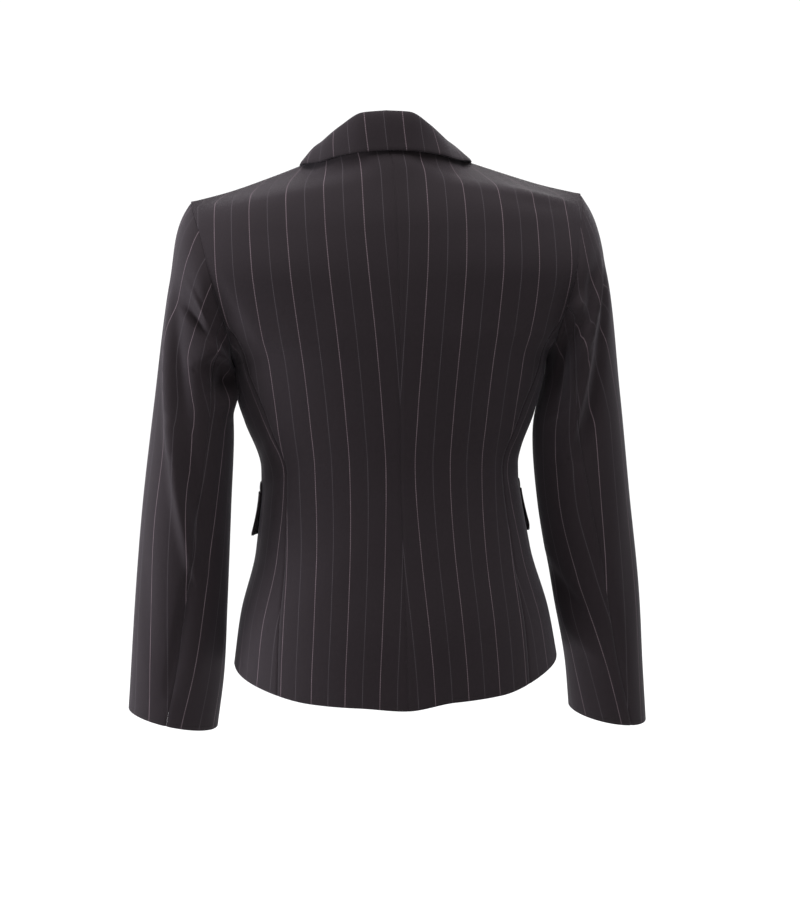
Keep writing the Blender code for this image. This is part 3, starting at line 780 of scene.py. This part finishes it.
# %% Pocket flaps
FLAPS = {
    LEFT: {"t": (0.97, 1.58), "level": (-372, -424), "stand": 5.5},
    RIGHT: {"t": (0.99, 1.58), "level": (-374, -426), "stand": 2.5},
}
FLAP_CORNER = 11.0
JET_HEIGHT, JET_WALL, JET_ROUND = 11.4, 0.9, 0.5
FLAP_STRIPE = 8.0            # U at the back end of a flap and its jet


def flap(side, u, v):
    """u runs forward from the flap's back end, v down from its top."""
    place = FLAPS[side]
    width = (place["t"][1] - place["t"][0]) * ROW_LENGTH
    deep = place["level"][0] - place["level"][1]
    into = np.clip(FLAP_CORNER - np.minimum(u, 1 - u) * width, 0, FLAP_CORNER)
    v = v * (1 - (FLAP_CORNER - np.sqrt(FLAP_CORNER ** 2 - into ** 2)) / deep)
    t = place["t"][0] + (place["t"][1] - place["t"][0]) * u
    level = place["level"][0] - deep * v
    height = LAYER_GAP + FLAP_WALL + place["stand"] * v ** 1.5 * (1 - u) ** 2
    return raised(side, t, level, height)


def jet(side, u, v):
    """The narrow welt that the flap comes out of, rolled over at both edges."""
    start, end = FLAPS[side]["t"]
    level = FLAPS[side]["level"][0] + JET_HEIGHT * (v + 0.02)
    height = LAYER_GAP / 2 + JET_WALL + JET_ROUND * np.sin(math.pi * v)
    return raised(side, start + (end - start) * (u * 1.02 - 0.01), level, height)


for word, side in SIDES.items():
    plain_sheet(f"cloth_flap_{word}", lambda u, v: flap(side, u, v), 60, 40, side, FLAP_WALL,
                f"flap_{word}", ("start", "end", "top"), lambda arc: arc + FLAP_STRIPE)
for word, side in SIDES.items():
    plain_sheet(f"cloth_jet_{word}", lambda u, v: jet(side, u, v), 60, 10, -side, JET_WALL,
                None, ("start", "end"), lambda arc: arc + FLAP_STRIPE)

# %% [markdown]
# ## The sleeves
#
# A tailored sleeve has an upper and an under piece, with a seam behind the arm. It is lofted here
# through rings from the armhole to the cuff. Its folds are the strongest on the blazer: the arm
# hangs a little forward, so cloth gathers behind the armhole and inside the elbow. On the cap the
# stripes keep one direction, so each place there takes the stripe that it would reach if it were
# brought down onto the first ring.

# %% Rings of the sleeves
ARMHOLE = table("angle level", (0, 0), (22, -45), (45, -95), (90, -150), (135, -200), (180, UNDERARM))
SLEEVE_START = table(
    "angle out back up",
    (0, 0.60, 0.00, -0.80),
    (45, 0.70, 0.30, -0.65),
    (90, 0.72, 0.35, -0.60),
    (135, 0.40, 0.20, -0.90),
    (180, 0.12, 0.00, -0.99),
    (225, 0.40, -0.20, -0.90),
    (270, 0.72, -0.30, -0.62),
    (315, 0.70, -0.25, -0.66),
    (360, 0.60, 0.00, -0.80),
)
SLEEVE_RINGS = {
    LEFT: table(
        "along x y z half_width half_depth tilt pitch",
        (95, 198, 0, -206, 31.5, 60, 56, 0),
        (185, 206.5, 3, -290, 41, 57, 20, 0),
        (280, 216, 4, -381, 46, 54, 5, 0),
        (385, 224, -6, -486, 48.5, 47, 3, 3),
        (460, 229, -21, -560, 49, 41, 4, 6),
        (512, 234, -33, -606.5, 47, 36, 10, 8),
    ),
    RIGHT: table(
        "along x y z half_width half_depth tilt pitch",
        (95, 195.5, 0, -206, 34.5, 60, 56, 0),
        (185, 195.5, 3, -290, 46, 57, 20, 0),
        (280, 201.5, 4, -381, 48.5, 54, 5, 0),
        (385, 215.5, -6, -486, 45.5, 47, 2, 4),
        (465, 225, -21, -563, 41.5, 41, -3, 8),
        (515, 229.5, -32, -615, 41.5, 36, -8, 9),
    ),
}
SLEEVE_SEAMS = {
    LEFT: table("along back front", (0, 118, 246), (200, 108, 244), (350, 96, 242), (512, 79, 240)),
    RIGHT: table("along back front", (0, 112, 246), (200, 98, 244), (350, 85, 242), (440, 78, 241),
                 (515, 60, 240)),
}

print("sleeve rings:", [len(rings["along"]) for rings in SLEEVE_RINGS.values()])

# %% Folds of the sleeves
SLEEVE_FOLDS = {
    LEFT: table(
        "angle_1 along_1 angle_2 along_2 width height lean",
        (60, 68, 96, 56, 8, 3.4, 0.0),
        (54, 96, 94, 82, 7, -6.5, 0.2),
        (138, 46, 84, 130, 9, 9.0, -0.45),
        (112, 138, 158, 62, 13, -11.0, 0.2),
        (172, 24, 158, 104, 13, 9.5, 0.0),
        (170, 90, 132, 160, 12, 8.0, 0.2),
        (24, 116, 60, 225, 10, 7.5, 0.4),
        (38, 96, 78, 200, 10, -5.0, 0.2),
        (54, 205, 98, 342, 10, 8.0, 0.4),
        (80, 220, 116, 330, 11, -6.0, 0.0),
        (96, 345, 78, 470, 7, -4.0, 0.2),
        (120, 380, 104, 470, 13, 2.5, 0.0),
        (30, 320, 48, 430, 12, -1.6, 0.0),
        (320, 60, 250, 150, 15, 6.0, 0.0),
        (338, 120, 296, 200, 12, -2.5, 0.0),
        (225, 250, 285, 300, 15, -5.0, 0.0),
        (218, 300, 292, 352, 13, 2.6, 0.0),
    ),
    RIGHT: table(
        "angle_1 along_1 angle_2 along_2 width height lean",
        (112, 8, 88, 84, 10, 9.0, 0.2),
        (88, 84, 92, 140, 9, 8.0, 0.2),
        (132, 20, 130, 165, 16, -13.0, 0.0),
        (42, 66, 76, 116, 9, 9.0, 0.5),
        (74, 112, 112, 226, 9, 10.0, 0.5),
        (26, 82, 62, 130, 8, -6.0, 0.0),
        (60, 128, 96, 236, 8, -6.5, 0.0),
        (70, 60, 84, 30, 9, -3.5, 0.0),
        (104, 214, 116, 330, 13, 2.6, 0.0),
        (168, 352, 112, 402, 13, -5.5, 0.2),
        (150, 412, 96, 452, 11, 2.6, 0.0),
        (84, 350, 68, 470, 8, -2.2, 0.0),
        (40, 300, 52, 420, 13, -1.5, 0.0),
        (315, 70, 255, 160, 15, 6.0, 0.0),
        (340, 130, 300, 215, 12, -2.4, 0.0),
        (230, 260, 290, 320, 15, -5.0, 0.0),
        (222, 318, 296, 368, 13, 2.4, 0.0),
    ),
}
FOLD_START = (0, 16)         # from the armhole, where the folds rise
SLEEVE_SPRING = 1.15         # how boldly the cap leaves the armhole
SLEEVE_SHOULDER = (195.0, 0.0, -100.0)    # the place whose lift the sleeve's top follows
print("folds on the sleeves:", [len(folds["width"]) for folds in SLEEVE_FOLDS.values()])

# %% Surface of the sleeves


def armhole(side, angle):
    """Points of the armhole's edge, all round."""
    level = smooth(ARMHOLE, "level", np.minimum(angle, 360 - angle))
    return body(side, np.where(angle <= 180, SIDE, SIDE + 1e-7), level)


def sleeve_columns(side, angle):
    """For each angle, the points of the armhole and of every ring: (rings, points, 3)."""
    rings = SLEEVE_RINGS[side]
    cosine, sine = np.cos(np.radians(angle)), np.sin(np.radians(angle))
    lift = settle(side, np.array([SLEEVE_SHOULDER]) * (side, 1, 1))[0, 2] - SLEEVE_SHOULDER[2]
    direction = np.stack([smooth(SLEEVE_START, way, angle)
                          for way in ("out", "back", "up")], axis=-1) * (side, 1, 1)
    start = armhole(side, angle) + direction * ARMHOLE_GAP
    start[:, 0] += side * LAYER_GAP * np.clip(-cosine, 0, 1)
    columns = [start]
    for i in range(len(rings["along"])):
        x = rings["x"][i] + rings["half_width"][i] * cosine
        y = rings["y"][i] + rings["half_depth"][i] * sine
        z = rings["z"][i] + rings["tilt"][i] * cosine - rings["pitch"][i] * np.maximum(sine, 0)
        if i == 0:
            z = z + lift * 0.5 * (1 + cosine)
        columns.append(np.stack([side * x, y, z], axis=-1))
    return np.array(columns), direction


def plain_sleeve(side, angle, along):
    """Points of a sleeve's outer surface, before its folds."""
    columns, direction = sleeve_columns(side, angle)
    rings = SLEEVE_RINGS[side]
    keys = np.append(0.0, rings["along"])
    slope = slopes(keys, columns)
    slope[0] = direction * norm(columns[1] - columns[0]) / keys[1] * SLEEVE_SPRING
    slope[1:-1] = np.gradient(columns, keys, axis=0)[1:-1]
    return np.stack([hermite(keys, columns[:, :, axis], slope[:, :, axis], along)
                     for axis in range(3)], axis=-1)


def sleeve(side, angle, along):
    """Points of a sleeve's outer surface."""
    points, rings = plain_sleeve(side, angle, along), SLEEVE_RINGS[side]
    middle = np.stack([side * np.interp(along, rings["along"], rings["x"]),
                       np.interp(along, rings["along"], rings["y"])], axis=-1)
    away = unit(points[:, :2] - middle)
    around = SLEEVE_AROUND / 360
    folds = dict(SLEEVE_FOLDS[side])
    folds["angle_1"], folds["angle_2"] = folds["angle_1"] * around, folds["angle_2"] * around
    height = fold_height(folds, angle * around, along) * ease(*FOLD_START, along)
    points[:, :2] += away * height[:, None]
    return points


print("left elbow:", sleeve(LEFT, np.array([90.0]), np.array([300.0])).round(1)[0])

# %% Grain of the sleeves
SLEEVE_GRAIN = {             # angle of a bright stripe down the upper and the under sleeve
    LEFT: {True: table("along angle", (0, 40), (95, 40), (132, 30), (181, 42),
                       (234, 46), (299, 43.5), (509, 55.5)),
           False: table("along angle", (0, 150), (180, 136), (300, 126), (512, 98))},
    RIGHT: {True: table("along angle", (0, 84), (23, 80), (83, 65), (115, 58), (150, 45.5), (187, 35.5),
                        (206, 32), (300, 32), (515, 36)),
            False: table("along angle", (0, 138), (153, 127), (274, 130), (359, 120), (426, 102), (515, 76))},
}
CAP_SLANT = {LEFT: 0.42, RIGHT: 0.0}    # how far the cap's stripes run outwards for each mm down
CAP_STRAIGHT = -118.0        # level above which they run straight up
CAP_END = (88, 102)          # along the sleeve, where the grain passes from the cap to the arm


def angle_below(side, angle, along):
    """Where a place on the cap would come if it were brought down its stripe onto the first ring."""
    rings, slant = SLEEVE_RINGS[side], CAP_SLANT[side]
    points = plain_sleeve(side, np.mod(angle, 360), along)
    down = np.minimum(points[:, 2], CAP_STRAIGHT) - rings["z"][0]
    out = side * points[:, 0] - rings["x"][0] + slant * down
    below = np.degrees(np.arctan2((points[:, 1] - rings["y"][0]) / rings["half_depth"][0],
                                  out / (rings["half_width"][0] + slant * rings["tilt"][0])))
    return below + 360 * np.round((angle - below) / 360)


def sleeve_grain(side, upper, points, angle, along):
    """The grain of a sleeve piece, whose stripes keep one direction on its cap."""
    arc = arc_length(points, 1)
    line = SLEEVE_GRAIN[side][upper]
    turns = smooth(line, "angle", along[:, 0])
    start = np.array([np.interp(a0, a, s) for a0, a, s in zip(turns, angle, arc)])
    ring = int(np.argmin(np.abs(along[:, 0] - SLEEVE_RINGS[side]["along"][0])))
    below = angle_below(side, angle.ravel(), along.ravel()).reshape(angle.shape)
    inside = np.clip(below, angle[ring, 0], angle[ring, -1])
    stretch = (arc[ring, -1] - arc[ring, 0]) / (angle[ring, -1] - angle[ring, 0])
    cap = np.interp(inside, angle[ring], arc[ring]) + (below - inside) * stretch
    cap_start = np.interp(turns, angle[ring], arc[ring])
    down = ease(*CAP_END, along)
    across = (cap - cap_start[:, None]) * (1 - down) + (arc - start[:, None]) * down
    return grain_map(points, across + BRIGHT_AT / MM)


def sleeve_piece(upper, side, columns, rows):
    """Points and grain of the upper or the under sleeve, cap first."""
    u, v, shape = panel_grid(columns, rows)
    seams = SLEEVE_SEAMS[side]
    along = v * SLEEVE_RINGS[side]["along"][-1]
    back, front = (smooth(seams, seam, along) for seam in ("back", "front"))
    gap = SLEEVE_SEAM_GAP / 2 * 360 / SLEEVE_AROUND
    start, end = (front - 360, back) if upper else (back, front)
    angle = (start + gap) + (end - start - 2 * gap) * u
    points = sleeve(side, np.mod(angle, 360), along).reshape(shape + (3,))
    return points, sleeve_grain(side, upper, points, angle.reshape(shape), along.reshape(shape))


print("a stripe at 30 degrees on the left cap comes down to",
      angle_below(LEFT, np.array([30.0]), np.array([50.0])).round(1))

# %% Sleeves
for word, side in SIDES.items():
    for upper, part in ((True, "upper"), (False, "under")):
        points, grain = sleeve_piece(upper, side, 70 if upper else 46, 190)
        points = moved_out(points, -side, seam_dips(points, ("start", "end", "bottom")))
        normal = normals(points, -side)
        points, grain = turned_up(points[::-1], normal[::-1], grain[::-1] * (1, -1), CUFF_DEPTH)
        node = f"sleeve_{part}_{word}"
        cloth(f"cloth_{node}", points[::-1], grain[::-1], -side, CLOTH, node)

# %% [markdown]
# ## The collar
#
# The collar stands up from the neck seam, rolls over and falls back onto the shoulders. One sheet
# does both, from the seam up the stand, over the roll and down the fall to its free edge.

# %% Collar
COLLAR = table(
    "station seam_x seam_y seam_z roll_x roll_y roll_z edge_x edge_y edge_z",
    (0, 0, 58.5, 1, 0, 60, 24.5, 0, 71.3, -16.5),
    (1, 25, 55.5, -1, 24, 56, 23, 28.4, 66.7, -17.8),
    (2, 48.5, 42, -8, 45.5, 43.5, 10.5, 54.5, 51.5, -21.5),
    (3, 65.5, 22.5, -16, 62.5, 22.5, -3.5, 75, 30.5, -26.5),
    (4, 74.5, 0, -22.5, 72, 0, -12.5, 90.5, 2, -27.3),
    (5, 73.5, -26, -38, 71.5, -27, -28, 91, -29.5, -42),
    (6, 66, -48, -61, 65, -51, -50, 88, -61, -65),
)
ROLL_AT, ROLL_REACH = 0.42, 21.0    # v at the roll, and how far the stand leans out into it
COLLAR_STRIPE = 10.0         # U at centre back


def collar(u, v):
    """u runs from one end round the back to the other, v from the neck seam over to the fall."""
    station = np.abs(u * 2 - 1) * 6
    side = np.sign(u * 2 - 1)
    at = {name: smooth(COLLAR, name, station) for name in COLLAR if name != "station"}
    seam, roll, edge = (np.stack([at[f"{part}_x"], at[f"{part}_y"], at[f"{part}_z"]], axis=-1)
                        for part in ("seam", "roll", "edge"))
    over = unit((edge - seam) * (1, 1, 0))
    rise, drop = roll - seam, edge - roll
    f = np.clip(v / ROLL_AT, 0, 1)[:, None]
    g = np.clip((v - ROLL_AT) / (1 - ROLL_AT), 0, 1)[:, None]
    steep = 0.7 + 0.8 * ease(12, 20, norm(rise))
    stand = bridge(f, seam, rise * (0, 0, 1) * steep - over * 5.0, roll, over * ROLL_REACH)
    fall = bridge(g, roll, over * norm(drop) * 0.46, edge, drop * 1.1 - over * 3.0)
    points = np.where((v <= ROLL_AT)[:, None], stand, fall)
    points[:, 0] *= np.where(side == 0, 1, side)
    right = points[:, 0] < 0
    points[right, 2] += RIGHT_SHOULDER_LIFT * ease(*POSE["shoulder"], -points[right, 0])
    points[:, 0] += NECK_LEAN * ease(*POSE["neck"], points[:, 2])
    return points


plain_sheet("cloth_collar", collar, 150, 60, 1, DOUBLE, "collar", ("start", "end", "top"),
            lambda arc: arc - arc[:, -1:] / 2 + COLLAR_STRIPE)

# %% [markdown]
# ## The button
#
# A blazer's button is turned from a rod of resin, with a raised rim, and drilled for thread. A lathe
# turns a profile round an axis, and `bmesh.ops.spin` does the same with a line of edges. The holes
# are cut by a boolean with four drills, which are then put away. The button is sewn on over a shank
# of wound thread, as thick as the cloth that it passes, and the stitched buttonhole runs back from
# it.

# %% The button's place and finish
RIM, RIM_DROP, WELL, HOLE_OUT, HOLE_RADIUS = 7.4, 0.9, 0.8, 1.75, 0.85
THREAD, SHANK = 0.42, 1.9


def polished(name, colour, lighter, rough, scale):
    finish = Finish(name)
    place = finish.node("ShaderNodeTexCoord")["Object"]
    factor = finish.noise(place, scale, 3.0)
    finish.set(Base_Color=finish.mix(factor, colour, lighter), Roughness=factor * 0.2 + rough)
    return finish.material


BUTTON = polished("button", (0.012, 0.011, 0.012, 1.0), (0.028, 0.024, 0.026, 1.0), 0.22, 160.0)
THREADS = polished("thread", (0.010, 0.009, 0.010, 1.0), (0.024, 0.021, 0.023, 1.0), 0.6, 900.0)

at_level = np.array([BUTTON_LEVEL])
at_t = front_t(np.array([0.0]), at_level)
button_height = FRONT_WALL + 2 * LAYER_GAP + BUTTON_THICKNESS / 2 + BUTTON_CLEARANCE
button_at = Vector(raised(RIGHT, at_t, at_level, np.array([button_height]))[0])
button_turn = Vector(outward(RIGHT, at_t, at_level)[0]).to_track_quat("Z", "Y").to_matrix().to_4x4()
button_place = Matrix.Scale(MM, 4) @ Matrix.Translation(button_at) @ button_turn
print("button at", [round(c, 1) for c in button_at])

# %% Turning and drilling


def solid(name, bm, finish):
    """An object of the mesh, put in the button's place."""
    bmesh.ops.transform(bm, matrix=button_place, verts=bm.verts)
    bmesh.ops.recalc_face_normals(bm, faces=bm.faces)
    return piece(name, bm, finish)


def turned(profile, steps=72):
    """A lathe: the profile, as (radius, height), spun round the axis."""
    bm = bmesh.new()
    verts = [bm.verts.new((radius, 0, height)) for radius, height in profile]
    edges = [bm.edges.new(pair) for pair in zip(verts, verts[1:])]
    bmesh.ops.spin(bm, geom=verts + edges, cent=(0, 0, 0), axis=(0, 0, 1), angle=2 * math.pi, steps=steps,
                   use_merge=True)
    bmesh.ops.remove_doubles(bm, verts=bm.verts, dist=1e-4)
    return bm


half = BUTTON_THICKNESS / 2
rim = [(RIM + (BUTTON_RADIUS - RIM) * (1 - math.cos(a)) / 2, half - RIM_DROP * math.cos(a) ** 2 * (a > 1.57))
       for a in np.linspace(0, math.pi, 9)]
profile = [(0, half - WELL), (RIM - 1.4, half - WELL), (RIM - 0.8, half - WELL * 0.8),
           (RIM - 0.3, half - 0.15), *rim, (BUTTON_RADIUS, -half + 1.0), (BUTTON_RADIUS - 0.4, -half + 0.3),
           (BUTTON_RADIUS - 1.1, -half), (0, -half)]
button = solid("resin_button", turned(profile), BUTTON)
drills = bmesh.new()
for turn in range(4):
    out = Matrix.Rotation(math.radians(45 + 90 * turn), 4, "Z") @ Matrix.Translation((HOLE_OUT, 0, 0))
    bmesh.ops.create_cone(drills, cap_ends=True, segments=20, radius1=HOLE_RADIUS, radius2=HOLE_RADIUS,
                          depth=12, matrix=out)
drill = solid("drills", drills, BUTTON)
cut = button.modifiers.new("Holes", "BOOLEAN")
cut.object, cut.operation, cut.solver = drill, "DIFFERENCE", "EXACT"
bpy.context.view_layer.update()
drilled = bpy.data.meshes.new_from_object(button.evaluated_get(bpy.context.evaluated_depsgraph_get()))
button.modifiers.clear()
button.data = drilled
bpy.data.objects.remove(drill)
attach(button, "root")
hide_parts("button")
print("button:", len(drilled.polygons), "faces")

# %% Thread and buttonhole


def strand(bm, path, radius, sides=8):
    """A rounded strand of thread through the points of a path."""
    turn = (Vector(path[-1]) - Vector(path[0])).to_track_quat("Z", "Y").to_matrix().to_4x4()
    loops = []
    for point in path:
        place = Matrix.Translation(point) @ turn
        ring = bmesh.ops.create_circle(bm, segments=sides, radius=radius, matrix=place)
        loops.append({edge for vert in ring["verts"] for edge in vert.link_edges})
    for first, second in zip(loops, loops[1:]):
        bmesh.ops.bridge_loops(bm, edges=[*first, *second])


sewing = bmesh.new()
reach = HOLE_OUT * math.sqrt(0.5)
for x in (-reach, reach):
    for beside in (-THREAD, THREAD):
        strand(sewing, [(x + beside, y, half - WELL - 0.2 + 0.7 * math.cos(math.pi / 2 * y / reach))
                        for y in np.linspace(-reach, reach, 11)], THREAD)
    for y in (-reach, reach):
        strand(sewing, [(x, y, half - WELL), (x, y, -half - 0.3)], HOLE_RADIUS * 0.8)
shank = [(0, -half - 0.05), (SHANK, -half - 0.05)]
shank += [(SHANK + 0.22 * math.cos(a * 2.5), -half - 0.1 - 0.12 * a) for a in np.linspace(0, 10, 40)]
shank += [(0, -half - 1.3)]
wound = turned(shank, 28)
spare = bpy.data.meshes.new("spare")
wound.to_mesh(spare)
wound.free()
sewing.from_mesh(spare)
bpy.data.meshes.remove(spare)
thread = solid("button_thread", sewing, THREADS)
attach(thread, "root")

HOLE_START, HOLE_LENGTH, HOLE_HALF = 2.0, 21.0, 1.3    # from centre front, back along the slit
STITCH, STITCH_STEP, STITCH_RIB = 0.62, 0.8, 0.16


def buttonhole(u, v):
    """A tube of stitches round the slit: u runs round the slit and v round the tube."""
    run = np.mod(u, 1) * (2 * HOLE_LENGTH + 2 * math.pi * HOLE_HALF)
    bend = math.pi * HOLE_HALF
    turn_1 = np.clip((run - HOLE_LENGTH) / HOLE_HALF, 0, math.pi)
    turn_2 = np.clip((run - 2 * HOLE_LENGTH - bend) / HOLE_HALF, 0, math.pi)
    heading = turn_1 + turn_2
    straight = np.clip(run, 0, HOLE_LENGTH) - np.clip(run - HOLE_LENGTH - bend, 0, HOLE_LENGTH)
    x = HOLE_START - straight - HOLE_HALF * np.sin(heading)
    z = HOLE_HALF * np.cos(heading)
    ring = 2 * math.pi * v
    ribs = STITCH * (1 + STITCH_RIB * np.sin(2 * math.pi * run / STITCH_STEP))
    aside = ribs * np.cos(ring)
    x, z = x - aside * np.sin(heading), z + aside * np.cos(heading)
    level = BUTTON_LEVEL + z
    t = front_t(x, level)
    lift = overlap_height(RIGHT, t, level) + 0.25 * STITCH + ribs * 0.7 * np.sin(ring)
    return raised(RIGHT, t, level, lift)


u, v = np.meshgrid(np.linspace(0, 1, 361), np.linspace(0, 1, 9))
bm = draped(buttonhole(u.ravel(), v.ravel()).reshape(u.shape + (3,)))
bmesh.ops.remove_doubles(bm, verts=bm.verts, dist=1e-7)
bmesh.ops.recalc_face_normals(bm, faces=bm.faces)
stitches = piece("buttonhole", bm, THREADS)
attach(stitches, "root")
print("buttonhole:", len(stitches.data.polygons), "faces")

# %% [markdown]
# ## What the sheets are
#
# Each sheet is cloth, so its flat cut is stated: width across and length along the grain.

# %% Sheets of cloth


def measured(sheet):
    """Width and length of a sheet's bounding rectangle on its grain map, in metres, and its area."""
    mesh = sheet.data
    uv = np.zeros(len(mesh.loops) * 2)
    mesh.uv_layers["Grain"].data.foreach_get("uv", uv)
    uv = uv.reshape(-1, 2)
    size = uv.max(0) - uv.min(0)
    return float(size[0]), float(size[1]), sum(face.area for face in mesh.polygons)


for sheet in every_sheet:
    width, length, area = measured(sheet)
    print(sheet.name, "flat", round(width, 3), "x", round(length, 3), "area", round(area, 4))

# %% [markdown]
# ## Studio
#
# The real blazer was photographed against white, far enough from the floor to leave no shadow. So
# the floor is pale and well below the hem, the surroundings are white, and large soft lights give
# the shoulders their shape.

# %% Floor and light
FLOOR_LEVEL = -1.25
pale = Finish("pale floor")
pale.set(Base_Color=(0.97, 0.97, 0.97, 1.0), Roughness=0.9)
bm = bmesh.new()
bmesh.ops.create_grid(bm, x_segments=1, y_segments=1, size=30)
bmesh.ops.translate(bm, verts=bm.verts, vec=(0, 0, FLOOR_LEVEL))
floor = piece("floor", bm, pale.material)

world = bpy.data.worlds.new("white surroundings")
world.use_nodes = True
background = world.node_tree.nodes["Background"].inputs
background["Color"].default_value = (1.0, 1.0, 1.0, 1.0)
background["Strength"].default_value = 1.08
bpy.context.scene.world = world
bpy.context.scene.view_settings.view_transform = "Standard"


def softbox(name, place, aim, size, power, colour):
    """A square light that faces `aim`."""
    light = bpy.data.lights.new(name, "AREA")
    light.size, light.energy, light.color = size, power, colour
    lamp = bpy.data.objects.new(name, light)
    bpy.context.scene.collection.objects.link(lamp)
    lamp.location = place
    lamp.rotation_euler = (Vector(aim) - Vector(place)).to_track_quat("-Z", "Y").to_euler()
    print(name, "light:", power, "W,", size, "m wide")


softbox("top", (0.0, 0.5, 1.7), (0, 0, -0.1), 1.7, 175, (0.96, 0.97, 1.0))
softbox("side", (2.3, -0.05, -0.45), (0, 0, -0.4), 1.1, 150, (0.92, 0.93, 1.0))
softbox("front", (-0.6, -2.2, 1.2), (0, 0, -0.3), 1.8, 60, (1.0, 1.0, 1.0))

# %% Camera
AZIMUTH, ELEVATION, DISTANCE = math.radians(174.5), math.radians(3.5), 3.6
AIM = Vector((-0.0085, 0.0, -0.336))
ROLL = math.radians(1.0)
forward = Vector((-math.sin(AZIMUTH) * math.cos(ELEVATION), math.cos(AZIMUTH) * math.cos(ELEVATION),
                  -math.sin(ELEVATION)))
right = forward.cross(Vector((0, 0, 1))).normalized()
up = right.cross(forward)
rolled_right = right * math.cos(ROLL) - up * math.sin(ROLL)
rolled_up = up * math.cos(ROLL) + right * math.sin(ROLL)
camera_data = bpy.data.cameras.new("camera")
camera_data.lens, camera_data.sensor_width = 135, 36
camera = bpy.data.objects.new("camera", camera_data)
bpy.context.scene.collection.objects.link(camera)
axes = Matrix((rolled_right, rolled_up, -forward)).transposed()
camera.matrix_world = Matrix.Translation(AIM - forward * DISTANCE) @ axes.to_4x4()
bpy.context.scene.camera = camera
print("camera at", [round(c, 2) for c in camera.matrix_world.translation])

# %% The end: the view layer is updated
bpy.context.view_layer.update()
